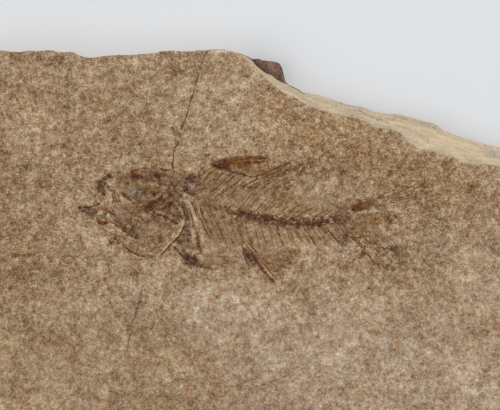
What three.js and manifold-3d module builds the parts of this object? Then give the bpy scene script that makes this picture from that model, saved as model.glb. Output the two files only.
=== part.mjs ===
// A fossil fish on a broken slab of fine limestone.
// The slab lies on its back with the fish on its upper face. Millimetres, +Z up, +X towards the tail, +Y towards the back fins.
// The origin is the middle of the slab's underside. Every bone stands on the slab's flat upper face.
import * as THREE from "three";
import { mergeVertices } from "three/addons/utils/BufferGeometryUtils.js";
import Module from "manifold-3d";

const wasm = await Module();
wasm.setup();

// Driving dimensions of the slab
const SLAB_LENGTH = 154;
const SLAB_WIDTH = 102.4;
const SLAB_THICKNESS = 12;

// Heights of the bones above the slab's face
const THIN_BONE = 0.25;
const PLATE_BONE = 0.4;
const STOUT_BONE = 0.6;
const BONE_GAP = 0.3;

// The slab's parting into a front and a back layer, and how rough its broken sides are
const BACK_LAYER_TOP = 5.8;
const FRONT_LAYER_FOOT = 6.4;
const SIDE_ROUGHNESS = 0.35;
const FOOT_CHIPPING = 0.9;

// How far apart the side's corners are, in degrees round the origin: closest at the knob, then along the ragged upper edge
const PLAIN_STEP = 4;
const RAGGED_STEP = 2.5;
const KNOB_STEP = 1;
const RAGGED_STRETCH = [16, 148];
const KNOB_STRETCH = [73.5, 96];

// The edge of the flat upper face, clockwise from its upper left corner
const FACE_EDGE = [
  [-74.2, 47.2], [-70, 49.4], [-62.5, 50.7], [-58.2, 50.2], [-53, 50.5], [-50, 50.7], [-47.2, 50.2],
  [-44.5, 50.2], [-43.2, 49.7], [-42, 49], [-40, 48.9], [-36.2, 49.3], [-32.5, 49.6], [-26, 49.7],
  [-23, 50.3], [-19.2, 50.6], [-17, 50.4], [-13, 50.7], [-9.2, 50.9], [-7, 50.6], [-4.5, 49.9],
  [-1.8, 48.9], [0, 47.9], [3, 45.5], [6, 43], [9.2, 40.5], [13.2, 37.8], [17, 36.1], [21.2, 34.5],
  [26.8, 33.8], [30, 32.1], [31.5, 31.1], [37.5, 30.1], [40, 27.8], [42.5, 26.2], [47.5, 25],
  [50.5, 23.8], [54, 22.4], [58, 21.8], [62.5, 20.8], [66.5, 18.4], [69.4, 13.6], [71.2, 6],
  [72.4, -4], [71, -13], [70.4, -19], [66.5, -23.5], [63.2, -26.8], [60.7, -30.2], [59.5, -32],
  [58, -34.5], [56.6, -36.8], [54.5, -41.5], [50.8, -45.4], [43, -47.8], [33, -48.6], [22, -47.5], [10, -48.7], [-4, -49.4],
  [-18, -48.1], [-30, -49], [-42, -48.2], [-54, -47], [-63, -44.4], [-69.4, -38.8], [-72.4, -30],
  [-71.4, -20], [-73.6, -8.5], [-72.4, 4], [-74.2, 16], [-73, 28], [-74.6, 38],
];

// The outer edge of the front layer: the foot of its broken slope, clockwise from the same corner
const SLOPE_FOOT = [
  [-75.6, 48], [-70, 49.6], [-62.5, 50.5], [-53, 50.2], [-47.2, 49.9], [-43.2, 49.4], [-40, 48.7],
  [-32.5, 49.3], [-26, 49.4], [-19.2, 50.3], [-13, 50.5], [-9.2, 50.9], [-7, 50.8], [-4.5, 50.3],
  [-1.8, 49.3], [0, 48.2], [3, 45.9], [6, 43.5], [8.4, 42], [10, 41.9], [11.8, 41.2], [13.8, 40.2],
  [16.2, 39.8], [20, 38.8], [25, 37.2], [28.8, 36.4], [33.2, 35.1], [37, 34.9], [42.5, 33.4],
  [47, 32.1], [49, 30.5], [51.5, 29.5], [55, 28.5], [60, 27.1], [62.5, 26.5], [68, 23.4],
  [73, 16.8], [76, 8], [77.6, -2], [76, -12], [75.2, -19], [72.5, -25], [68.4, -30],
  [65.4, -34.8], [62.8, -39], [60, -44], [55.6, -48], [49, -50], [44, -50.4], [32, -50.8], [20, -49.6], [8, -51],
  [-4, -51.5], [-17, -50.1], [-30, -51.2], [-44, -50], [-56, -49], [-65.6, -46], [-72.4, -40],
  [-75.8, -30.4], [-74.6, -20], [-77.5, -8.5], [-75.4, 4], [-77.2, 16], [-75.4, 28], [-76.8, 39],
];

// Where the back layer stands out past the front one: a pale fringe, then the brown knob
const BACK_LAYER_BULGE = [
  [-13, 50.6], [-9.2, 51], [-7, 51.5], [-5, 50.9], [-2.5, 50.4], [0, 49.8], [2, 49], [3, 48.5],
  [5, 48.4], [7, 48.1], [8, 47.3], [8.6, 45.2], [9, 43.3], [10, 42.2], [11.8, 41.2],
];

// The crack that runs across the face from the upper edge
const CRACK = [
  [-10.2, 51.5], [-12, 47.2], [-13.4, 43.4], [-15, 38.2], [-16.8, 32], [-18.7, 26.4], [-19.2, 22.6], [-19.3, 20.4],
];
const LOWER_CRACK = [[-27.4, -11], [-28.8, -16], [-30.4, -22.4], [-31.8, -29]];
const CRACK_WIDTH = 0.4;
const CRACK_DEPTH = 0.5;

// The line of the backbone, from the back of the skull to the root of the tail
const BACKBONE = [
  [-13.8, 16.9], [-10.7, 14.8], [-5.7, 13], [-3.1, 12], [0.3, 11.3], [4, 10.8], [7.6, 10.3], [10.8, 9.4],
  [13.7, 9.4], [16.7, 9.6], [18.3, 10], [20.8, 10.6], [22.5, 11.9], [23.4, 12.7],
];
const VERTEBRAE = 22;
const VERTEBRA_WIDTH = 1.3;
const TAIL_VERTEBRA_WIDTH = 1;

const BONE_BROWN = 0x5d3f2d;
const FIN_BROWN = 0x7a4c2a;
const PLATE_BROWN = 0x8a6c4c;

const degrees = THREE.MathUtils.degToRad;
const mix = THREE.MathUtils.lerp;

// Turns a closed geometry into a solid.
function solidOf(geometry) {
  const bare = new THREE.BufferGeometry();
  bare.setAttribute("position", geometry.getAttribute("position"));
  if (geometry.index) bare.setIndex(geometry.index);
  const merged = mergeVertices(bare, 1e-4);
  return new wasm.Manifold(new wasm.Mesh({
    numProp: 3,
    vertProperties: merged.attributes.position.array,
    triVerts: new Uint32Array(merged.index.array),
  }));
}

// Turns a solid back into a mesh with a name and a finish.
function meshOf(solid, name, color) {
  const made = solid.getMesh();
  const geometry = new THREE.BufferGeometry();
  geometry.setAttribute("position", new THREE.BufferAttribute(made.vertProperties, 3));
  geometry.setIndex(new THREE.BufferAttribute(made.triVerts, 1));
  geometry.computeVertexNormals();
  const mesh = new THREE.Mesh(geometry, new THREE.MeshStandardMaterial({ color, roughness: 0.9, metalness: 0 }));
  mesh.name = name;
  return mesh;
}

const join = (solids) => solids.reduce((whole, next) => whole.add(next));

// A repeatable wander between about -1 and 1 for the angle round the slab.
function wander(angle, seed) {
  const slow = Math.sin(angle * 7.3 + seed * 1.7);
  const middling = Math.sin(angle * 17.9 + seed * 4.1);
  const quick = Math.sin(angle * 41.3 + seed * 2.3);
  return 0.5 * slow + 0.3 * middling + 0.2 * quick;
}

// How far the outline is from the origin along a direction. Returns 0 where an open outline isn't crossed.
function reachOf(outline, angle, closed = true) {
  const way = new THREE.Vector2(Math.cos(angle), Math.sin(angle));
  const count = closed ? outline.length : outline.length - 1;
  let reach = 0;
  for (let i = 0; i < count; i++) {
    const [ax, ay] = outline[i];
    const [bx, by] = outline[(i + 1) % outline.length];
    const sideA = way.x * ay - way.y * ax;
    const sideB = way.x * by - way.y * bx;
    if (sideA * sideB > 0 || sideA === sideB) continue;
    const share = sideA / (sideA - sideB);
    const along = way.x * mix(ax, bx, share) + way.y * mix(ay, by, share);
    reach = Math.max(reach, along);
  }
  return reach;
}

// The directions of the side's corners.
function sideAngles() {
  const inside = (at, [from, to]) => at >= from && at < to;
  const angles = [];
  let at = 0;
  while (at < 360 - 1e-6) {
    angles.push(degrees(at));
    if (inside(at, KNOB_STRETCH)) at += KNOB_STEP;
    else if (inside(at, RAGGED_STRETCH)) at += RAGGED_STEP;
    else at += PLAIN_STEP;
  }
  return angles;
}

// Each ring of the slab's side, from the face down: its height and its reach in a direction.
function sideRings() {
  const face = (angle) => reachOf(FACE_EDGE, angle);
  const foot = (angle) => reachOf(SLOPE_FOOT, angle);
  const back = (angle) => Math.max(foot(angle), reachOf(BACK_LAYER_BULGE, angle, false));
  const slope = (share, seed) => (angle) =>
    mix(face(angle), foot(angle), share) + SIDE_ROUGHNESS * wander(angle, seed) * share;
  return [
    { z: SLAB_THICKNESS, reach: face },
    { z: SLAB_THICKNESS - 0.7, reach: slope(0.2, 1) },
    { z: SLAB_THICKNESS - 2.4, reach: slope(0.5, 2) },
    { z: SLAB_THICKNESS - 4.2, reach: slope(0.78, 3) },
    { z: FRONT_LAYER_FOOT, reach: (angle) => foot(angle) },
    { z: BACK_LAYER_TOP, reach: (angle) => mix(foot(angle), back(angle), 0.85) },
    { z: BACK_LAYER_TOP - 1.2, reach: (angle) => back(angle) },
    { z: 2.6, reach: (angle) => back(angle) - SIDE_ROUGHNESS * (1 + wander(angle, 5)) },
    { z: 0.7, reach: (angle) => back(angle) - SIDE_ROUGHNESS * (1.2 + wander(angle, 6)) },
    { z: 0, reach: (angle) => back(angle) - FOOT_CHIPPING * (1.1 + 0.5 * wander(angle, 7)) },
  ];
}

// The whole slab: rings of corners down its side, closed by the face and the underside.
function slabSolid() {
  const angles = sideAngles();
  const rings = sideRings();
  const n = angles.length;
  const clampX = (x) => THREE.MathUtils.clamp(x, -SLAB_LENGTH / 2, SLAB_LENGTH / 2);
  const clampY = (y) => THREE.MathUtils.clamp(y, -SLAB_WIDTH / 2, SLAB_WIDTH / 2);
  const corners = rings.flatMap(({ z, reach }) => angles.map((angle) => {
    const r = reach(angle);
    return [clampX(r * Math.cos(angle)), clampY(r * Math.sin(angle)), z];
  }));
  const faces = [];
  for (let ring = 0; ring < rings.length - 1; ring++) {
    for (let i = 0; i < n; i++) {
      const j = (i + 1) % n;
      const [a, b, c, d] = [ring * n + i, ring * n + j, (ring + 1) * n + j, (ring + 1) * n + i];
      faces.push(a, d, c, a, c, b);
    }
  }
  const flat = (first) => corners.slice(first, first + n).map(([x, y]) => new THREE.Vector2(x, y));
  const underside = (rings.length - 1) * n;
  for (const [a, b, c] of THREE.ShapeUtils.triangulateShape(flat(0), [])) faces.push(a, b, c);
  for (const [a, b, c] of THREE.ShapeUtils.triangulateShape(flat(underside), [])) {
    faces.push(underside + a, underside + c, underside + b);
  }
  const geometry = new THREE.BufferGeometry();
  geometry.setAttribute("position", new THREE.Float32BufferAttribute(corners.flat(), 3));
  geometry.setIndex(faces);
  return solidOf(geometry);
}

// A thin blade along a path, used to cut a crack into the face.
function crackSolid(path) {
  const blade = ridge(path, () => CRACK_WIDTH, 2 * CRACK_DEPTH, 1);
  return blade.translate([0, 0, -CRACK_DEPTH]);
}

// A ridge of bone on the slab's face along a path of [x, y] points.
// width(share) is its width there, height its top above the face, and crown the top's width over the foot's.
function ridge(path, width, height, crown = 0.45) {
  const points = path.map(([x, y]) => new THREE.Vector2(x, y));
  const last = points.length - 1;
  const corners = [];
  points.forEach((point, i) => {
    const ahead = points[Math.min(i + 1, last)].clone().sub(points[Math.max(i - 1, 0)]).normalize();
    const half = width(i / last) / 2;
    const across = new THREE.Vector2(-ahead.y, ahead.x).multiplyScalar(half);
    const foot = SLAB_THICKNESS;
    corners.push([point.x + across.x, point.y + across.y, foot]);
    corners.push([point.x - across.x, point.y - across.y, foot]);
    corners.push([point.x - across.x * crown, point.y - across.y * crown, foot + height]);
    corners.push([point.x + across.x * crown, point.y + across.y * crown, foot + height]);
  });
  const faces = [0, 1, 2, 0, 2, 3];
  for (let i = 0; i < last; i++) {
    for (let k = 0; k < 4; k++) {
      const [a, b] = [4 * i + k, 4 * i + ((k + 1) % 4)];
      faces.push(a, b + 4, b, a, a + 4, b + 4);
    }
  }
  const end = 4 * last;
  faces.push(end, end + 2, end + 1, end, end + 3, end + 2);
  const geometry = new THREE.BufferGeometry();
  geometry.setAttribute("position", new THREE.Float32BufferAttribute(corners.flat(), 3));
  geometry.setIndex(faces);
  return solidOf(geometry);
}

// A flat plate of bone on the slab's face, from its outline.
function plate(outline, height) {
  const shape = new THREE.Shape(outline.map(([x, y]) => new THREE.Vector2(x, y)));
  const geometry = new THREE.ExtrudeGeometry(shape, { depth: height, bevelEnabled: false });
  return solidOf(geometry.translate(0, 0, SLAB_THICKNESS));
}

// Cuts a bone back so that it keeps the bone gap from its neighbours on the slab's face.
function keepClear(bone, neighbours) {
  const shadow = join(neighbours).project().offset(BONE_GAP, "Miter", 2).simplify(0.05);
  const cutters = shadow.toPolygons().map((outline) => ({
    solid: plate(outline, 2 * STOUT_BONE).translate([0, 0, -0.5 * STOUT_BONE]),
    isHole: THREE.ShapeUtils.area(outline.map(([x, y]) => new THREE.Vector2(x, y))) < 0,
  }));
  const solids = cutters.filter((cutter) => !cutter.isHole).map((cutter) => cutter.solid);
  const holes = cutters.filter((cutter) => cutter.isHole).map((cutter) => cutter.solid);
  const cutter = holes.reduce((whole, hole) => whole.subtract(hole), join(solids));
  return largestOf(bone.subtract(cutter));
}

// The main body of a bone, without the crumbs that a cut leaves.
function largestOf(bone) {
  const bodies = bone.decompose();
  return bodies.reduce((best, body) => (body.volume() > best.volume() ? body : best));
}

// A tapering width for a ridge, from its root to its tip.
const taper = (root, tip) => (share) => mix(root, tip, share);

// A bent ray from root to tip: it bows sideways by bow times its length.
function rayPath([x0, y0], [x1, y1], bow) {
  const [dx, dy] = [x1 - x0, y1 - y0];
  return [[x0, y0], [x0 + dx / 2 - dy * bow, y0 + dy / 2 + dx * bow], [x1, y1]];
}

// A fin: rays fanned out between a root line and a tip line, on a thin web that joins them.
function fin({ roots, tips, rays, bow, rootWidth, tipWidth, webReach = 0.8 }) {
  const rootLine = new THREE.CatmullRomCurve3(roots.map(([x, y]) => new THREE.Vector3(x, y, 0)));
  const tipLine = new THREE.CatmullRomCurve3(tips.map(([x, y]) => new THREE.Vector3(x, y, 0)));
  const spots = Array.from({ length: rays }, (_, i) => i / (rays - 1));
  const rootSpots = spots.map((share) => rootLine.getPoint(share)).map((p) => [p.x, p.y]);
  const tipSpots = spots.map((share) => tipLine.getPoint(share)).map((p) => [p.x, p.y]);
  const widths = taper(rootWidth, tipWidth);
  const bones = spots.map((_, i) => ridge(rayPath(rootSpots[i], tipSpots[i], bow), widths, PLATE_BONE));
  const webTips = rootSpots.map(([x, y], i) => [mix(x, tipSpots[i][0], webReach), mix(y, tipSpots[i][1], webReach)]);
  return join([plate([...rootSpots, ...webTips.reverse()], THIN_BONE), ...bones]);
}

// The slender bones under a back fin, from its root line down towards the backbone.
function finSupports(line, count, [dx, dy]) {
  const curve = new THREE.CatmullRomCurve3(line.map(([x, y]) => new THREE.Vector3(x, y, 0)));
  const spots = Array.from({ length: count }, (_, i) => curve.getPoint(i / (count - 1)));
  return spots.map((p) => ridge([[p.x, p.y], [p.x + dx, p.y + dy]], taper(0.45, 0.25), THIN_BONE));
}

// The column of vertebrae with its spines and ribs.
function backboneSolid() {
  const line = new THREE.CatmullRomCurve3(BACKBONE.map(([x, y]) => new THREE.Vector3(x, y, 0)));
  const bones = [];
  for (let i = 0; i < VERTEBRAE; i++) {
    const [from, to] = [i / VERTEBRAE, (i + 1) / VERTEBRAE];
    const share = (from + to) / 2;
    const [a, m, b] = [line.getPointAt(from), line.getPointAt(share), line.getPointAt(to)];
    const wide = mix(VERTEBRA_WIDTH, TAIL_VERTEBRA_WIDTH, share);
    const waist = (along) => wide * (along === 0.5 ? 0.7 : 1);
    bones.push(ridge([[a.x, a.y], [m.x, m.y], [b.x, b.y]], waist, STOUT_BONE, 0.6));
    bones.push(ridge(upperSpine(m, share), taper(0.5, 0.2), THIN_BONE));
    bones.push(ridge(lowerSpine(m, share), taper(0.5, 0.2), THIN_BONE));
  }
  return join(bones);
}

// The spine above a vertebra. It leans back towards the tail, most of all over the root of the tail.
function upperSpine(root, share) {
  const length = mix(6.6, 2.6, share ** 2);
  const lean = degrees(mix(38, 44, share));
  const tip = [root.x + length * Math.cos(lean), root.y + length * Math.sin(lean)];
  return rayPath([root.x, root.y], tip, 0.05);
}

// The rib or spine below a vertebra. The ribs of the belly are the long ones, and hang most steeply.
function lowerSpine(root, share) {
  const length = share < 0.45 ? mix(11.5, 7.2, share / 0.45) : mix(7.2, 3.4, (share - 0.45) / 0.55);
  const drop = degrees(mix(-66, -48, share));
  const tip = [root.x + length * Math.cos(drop), root.y + length * Math.sin(drop)];
  return rayPath([root.x, root.y], tip, 0.06);
}

// The hooked bone at the tip of the snout, with the slender bone that runs down behind it.
function snoutSolid() {
  const hook = [[-33.6, 21.1], [-35.3, 20.2], [-36.2, 18.6], [-36.1, 17.1], [-34.7, 16.2]];
  const stem = [[-35.6, 16.6], [-34.1, 17.6], [-32.9, 17], [-31.9, 15.6], [-31.7, 14.6]];
  return join([
    ridge(hook, (share) => 0.8 + 0.9 * Math.sin(Math.PI * share), STOUT_BONE),
    ridge(stem, taper(0.7, 0.45), PLATE_BONE),
  ]);
}

// The upper jaw: a three-cornered bone that ends in the point of the mouth.
function upperJawSolid() {
  const outline = [
    [-41, 13.5], [-38.6, 14.2], [-36.4, 14], [-34.3, 13.6], [-33, 12.3], [-31.9, 11.6], [-33.1, 10.9],
    [-34.5, 11.1], [-36.4, 11.2], [-37.6, 10], [-38.8, 10.3],
  ];
  const upperRim = [[-41, 13.4], [-38.6, 13.9], [-36.2, 13.9], [-34.3, 13.3], [-33.1, 12.2], [-31.9, 11.6]];
  return join([plate(outline, THIN_BONE), ridge(upperRim, taper(0.9, 0.5), STOUT_BONE)]);
}

// The lower jaw: two stout edges with a thin plate between them, rising to the cheek.
function lowerJawSolid() {
  const outline = [
    [-36.4, 9.8], [-35, 10.2], [-33.3, 10], [-30.3, 8.4], [-26.9, 6.8], [-25.2, 5.5], [-27.6, 4.9],
    [-30.8, 6], [-33.8, 7.4], [-35.7, 8.6],
  ];
  const upperEdge = [[-36.2, 9.9], [-33.3, 9.8], [-30.3, 8.1], [-26.9, 6.6]];
  const lowerEdge = [[-35, 8.3], [-32.6, 7.2], [-30.8, 6.4], [-28.6, 5.4]];
  return join([
    plate(outline, THIN_BONE),
    ridge(upperEdge, taper(0.9, 0.8), STOUT_BONE),
    ridge(lowerEdge, taper(0.8, 0.6), STOUT_BONE),
  ]);
}

// The throat bones, along the underside of the head.
function throatBonesSolid() {
  const front = [[-34, 5.6], [-32.6, 6], [-31.3, 5.4], [-31.7, 4.8], [-33.3, 4.5]];
  const edge = [[-34, 5.1], [-32.6, 5.4], [-30.8, 4.6], [-29, 3.5], [-26.5, 2.2], [-24.8, 2.1], [-23.1, 1.5]];
  return join([plate(front, PLATE_BONE), ridge(edge, taper(0.9, 0.4), PLATE_BONE)]);
}

// The cheek: a thin plate under the eye.
function cheekSolid() {
  const outline = [
    [-30.7, 13.4], [-28.6, 13.7], [-26.4, 12.6], [-24.3, 11.4], [-24.8, 9.6], [-25.3, 7.7], [-26.9, 7.5],
    [-29.5, 9], [-31.4, 10.6], [-31.4, 12.4],
  ];
  return plate(outline, THIN_BONE);
}

// The braincase: a plate round the eye socket, with the dark ridges of its roof and floor.
function skullSolid() {
  const outline = [
    [-32.8, 20.5], [-30.7, 21.1], [-28.7, 22.1], [-24.8, 23.1], [-22.7, 23.2], [-20.7, 22.2], [-18.6, 21.8],
    [-16.7, 21], [-15.9, 18.8], [-16.3, 16.2], [-18.6, 14.7], [-21.4, 13.1], [-22.8, 12.8], [-26.3, 13.8],
    [-28.4, 15.2], [-30.7, 16.8], [-32.4, 18.6],
  ];
  const eyeSocket = { x: -26.7, y: 17.8, radius: 2.3 };
  const floor = [[-30.7, 16.8], [-28.4, 15.2], [-26.3, 13.8], [-22.9, 12.8]];
  const roof = [[-30.8, 20.4], [-29, 20.8], [-27.1, 20.5], [-25.2, 21.1], [-22.8, 21.6], [-20.7, 21.1], [-18.6, 20.5]];
  const backStrut = [[-20.1, 18.3], [-21.2, 16.5], [-22.1, 14.7], [-22.7, 13.2]];
  const hole = new THREE.CylinderGeometry(eyeSocket.radius, eyeSocket.radius, 2 * STOUT_BONE, 18).rotateX(Math.PI / 2);
  const socket = solidOf(hole.translate(eyeSocket.x, eyeSocket.y, SLAB_THICKNESS));
  return join([
    plate(outline, THIN_BONE).subtract(socket),
    ridge(floor, taper(0.8, 0.6), STOUT_BONE),
    ridge(roof, taper(0.9, 0.7), PLATE_BONE),
    ridge(backStrut, taper(0.7, 0.5), PLATE_BONE),
  ]);
}

// The gill cover: a round plate with a stiff upper strut and a raised hind edge.
function gillCoverSolid() {
  const outline = [
    [-22.4, 12.1], [-20.7, 13], [-18.6, 14.2], [-16.4, 15], [-15.8, 12.7], [-15.6, 10.5], [-16.4, 8.6],
    [-17.8, 6.2], [-19.6, 4.1], [-21.3, 2], [-22.8, 3.4], [-23.9, 5.8], [-24.3, 8.6], [-23.6, 10.8],
  ];
  const strut = [[-22.6, 11.9], [-20.8, 11.5], [-18.7, 10.6], [-16.9, 9.7]];
  const hindEdge = [[-16.3, 14.8], [-15.8, 12.7], [-15.7, 10.5], [-16.5, 8.6], [-17.8, 6.4], [-21.3, 2.2]];
  return join([
    plate(outline, THIN_BONE),
    ridge(strut, taper(0.7, 0.5), PLATE_BONE),
    ridge(hindEdge, taper(0.6, 0.5), STOUT_BONE),
  ]);
}

// The shoulder girdle: a bow of bone behind the gill cover, with a slender bone beside it.
function shoulderGirdleSolid() {
  const bow = [[-15.4, 16.7], [-14.3, 13.6], [-12.9, 9.8], [-12, 6], [-11.4, 2.6]];
  const strut = [[-13.2, 10.6], [-13.8, 7.4], [-14.5, 4.6]];
  return join([
    ridge(bow, taper(1, 0.8), PLATE_BONE),
    ridge(strut, taper(0.8, 0.4), THIN_BONE),
  ]);
}

function firstDorsalFinSolid() {
  const rootLine = [[-8.8, 23.7], [-7.9, 23.3], [-6.7, 22.8], [-5.2, 22.4]];
  const supportLine = [[-10, 22.8], [-7.9, 22.6], [-5, 22.2], [-2.6, 21.8]];
  return join([
    fin({
      roots: rootLine,
      tips: [[2.1, 25.7], [4.3, 25.4], [3.3, 24.4], [0.5, 23.7]],
      rays: 7, bow: 0.03, rootWidth: 0.7, tipWidth: 0.3, webReach: 0.95,
    }),
    ridge(supportLine, taper(0.5, 0.4), PLATE_BONE),
    ridge([rootLine[1], supportLine[1]], taper(0.8, 0.6), PLATE_BONE),
    ...finSupports(supportLine, 5, [-3, -3.2]),
  ]);
}

function secondDorsalFinSolid() {
  const rootLine = [[0, 21.1], [2.1, 20.6], [3.9, 20.1], [6.6, 19.6]];
  return join([
    fin({
      roots: [[2.1, 20.6], [3.3, 20.3], [5, 19.9], [6.6, 19.6]],
      tips: [[9.5, 24.2], [12.4, 24], [12.6, 22.8], [11.9, 21.3]],
      rays: 7, bow: 0.03, rootWidth: 0.6, tipWidth: 0.25,
    }),
    ridge(rootLine, taper(0.5, 0.4), PLATE_BONE),
    ...finSupports(rootLine, 5, [-3.6, -3.4]),
  ]);
}

function pelvicFinSolid() {
  const base = [[-15.9, 1.8], [-14.3, 2.3], [-12.6, 1.5], [-12.5, -0.2], [-14.3, -0.7], [-15.5, 0.4]];
  return join([
    plate(base, PLATE_BONE),
    ridge([[-18.2, 4.3], [-16.9, 2.8], [-15.3, 1.2]], taper(0.4, 0.8), PLATE_BONE),
    fin({
      roots: [[-13.6, -0.1], [-13.2, 0.8], [-13.4, 1.7]],
      tips: [[-8.6, -1.7], [-5, -0.8], [-2.9, 0.8]],
      rays: 6, bow: 0.03, rootWidth: 0.7, tipWidth: 0.25,
    }),
  ]);
}

function analFinSolid() {
  const base = [[-1.2, 3.1], [0, 3.5], [1.2, 2.4], [2.2, 1.6], [1.4, 0.5], [0.6, -0.1], [-0.7, 1.5]];
  return join([
    plate(base, PLATE_BONE),
    ridge([[-1.4, 5.7], [0, 3.7], [1.4, 1.7]], taper(0.4, 0.7), PLATE_BONE),
    ridge([[1, 2], [3.5, -1.6], [5.9, -4.7]], taper(1.1, 0.4), STOUT_BONE),
    fin({
      roots: [[1.7, 1.6], [3.8, 2.4], [6.2, 3.1], [8.6, 3.7]],
      tips: [[5.8, -3.2], [8.1, -2], [10, -0.5], [11.7, 1]],
      rays: 7, bow: -0.03, rootWidth: 0.5, tipWidth: 0.25,
    }),
  ]);
}

// The tail: the fan plate of the last bones, with an upper and a lower lobe of rays.
function tailFinSolid() {
  const fanPlate = [
    [23.9, 13.5], [25.5, 14.4], [27.4, 15.2], [29, 15.6], [29.5, 14.1], [28.9, 12.9], [27.1, 12.2],
    [25.2, 11.7], [24, 12.1],
  ];
  return join([
    plate(fanPlate, PLATE_BONE),
    fin({
      roots: [[28.7, 15.3], [29.1, 14.6], [29.1, 13.7]],
      tips: [[40, 18.7], [39.4, 17.2], [38.1, 15.9], [36.7, 14.2]],
      rays: 7, bow: -0.04, rootWidth: 0.5, tipWidth: 0.25,
    }),
    fin({
      roots: [[24.9, 12.2], [26.4, 12.4], [28.3, 13]],
      tips: [[30, 1.7], [33.8, -0.9], [37.1, -0.7], [36.7, 3.4]],
      rays: 7, bow: 0.04, rootWidth: 0.5, tipWidth: 0.25,
    }),
  ]);
}

const BONES = [
  ["snout", snoutSolid, BONE_BROWN],
  ["upper_jaw", upperJawSolid, BONE_BROWN],
  ["lower_jaw", lowerJawSolid, BONE_BROWN],
  ["throat_bones", throatBonesSolid, BONE_BROWN],
  ["gill_cover", gillCoverSolid, PLATE_BROWN],
  ["skull", skullSolid, PLATE_BROWN],
  ["cheek", cheekSolid, PLATE_BROWN],
  ["shoulder_girdle", shoulderGirdleSolid, BONE_BROWN],
  ["first_dorsal_fin", firstDorsalFinSolid, FIN_BROWN],
  ["second_dorsal_fin", secondDorsalFinSolid, FIN_BROWN],
  ["pelvic_fin", pelvicFinSolid, FIN_BROWN],
  ["anal_fin", analFinSolid, FIN_BROWN],
  ["tail_fin", tailFinSolid, FIN_BROWN],
  ["backbone", backboneSolid, BONE_BROWN],
];

const fossil = new THREE.Group();
const slab = slabSolid().subtract(crackSolid(CRACK)).subtract(crackSolid(LOWER_CRACK));
fossil.add(meshOf(slab, "limestone_slab", 0xa0866a));

const placed = [];
for (const [name, solidFor, color] of BONES) {
  const bone = placed.length ? keepClear(solidFor(), placed) : solidFor();
  placed.push(bone);
  fossil.add(meshOf(bone, name, color));
}

export default fossil;
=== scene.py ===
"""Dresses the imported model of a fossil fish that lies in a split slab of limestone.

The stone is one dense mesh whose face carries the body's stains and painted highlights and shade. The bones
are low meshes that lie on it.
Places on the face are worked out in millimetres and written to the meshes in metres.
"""
import math
from collections import namedtuple

import bpy
import numpy as np
from bpy.props import FloatProperty, FloatVectorProperty, IntProperty, PointerProperty
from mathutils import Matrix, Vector
from mathutils.geometry import delaunay_2d_cdt


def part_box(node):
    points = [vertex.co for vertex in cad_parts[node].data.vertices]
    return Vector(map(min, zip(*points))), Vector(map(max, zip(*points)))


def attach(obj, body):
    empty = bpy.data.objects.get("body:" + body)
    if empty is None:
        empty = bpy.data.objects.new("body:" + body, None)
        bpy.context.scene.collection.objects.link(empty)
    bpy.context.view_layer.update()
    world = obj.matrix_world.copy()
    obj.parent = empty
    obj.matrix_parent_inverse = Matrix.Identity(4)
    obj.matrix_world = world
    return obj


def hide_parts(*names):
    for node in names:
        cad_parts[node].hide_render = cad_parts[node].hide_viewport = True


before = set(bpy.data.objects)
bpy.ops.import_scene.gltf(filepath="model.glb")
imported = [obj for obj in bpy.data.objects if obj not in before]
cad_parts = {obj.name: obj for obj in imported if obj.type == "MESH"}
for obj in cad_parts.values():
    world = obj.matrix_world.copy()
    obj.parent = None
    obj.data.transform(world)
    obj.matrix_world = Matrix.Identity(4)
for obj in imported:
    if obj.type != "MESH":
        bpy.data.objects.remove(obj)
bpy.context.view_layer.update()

bl_info = {
    "name": "Fossil fish on a limestone slab",
    "version": (1, 0, 0),
    "blender": (4, 5, 0),
    "location": "3D View > Sidebar > Fossil",
    "description": "Makes the split stone, the bones that lie in it and a small stage for them",
    "category": "Object",
}

MM = 0.001
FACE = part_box("limestone_slab")[1].z / MM
HALF_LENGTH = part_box("limestone_slab")[1].x / MM
HALF_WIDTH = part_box("limestone_slab")[1].y / MM

# The photograph's scale, the pixel that lies over the part's origin, and its frame
MM_PER_PIXEL = 0.238
ORIGIN_PIXEL = (250.0, 264.2)
PHOTO_WIDTH, PHOTO_HEIGHT = 500, 410

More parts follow.
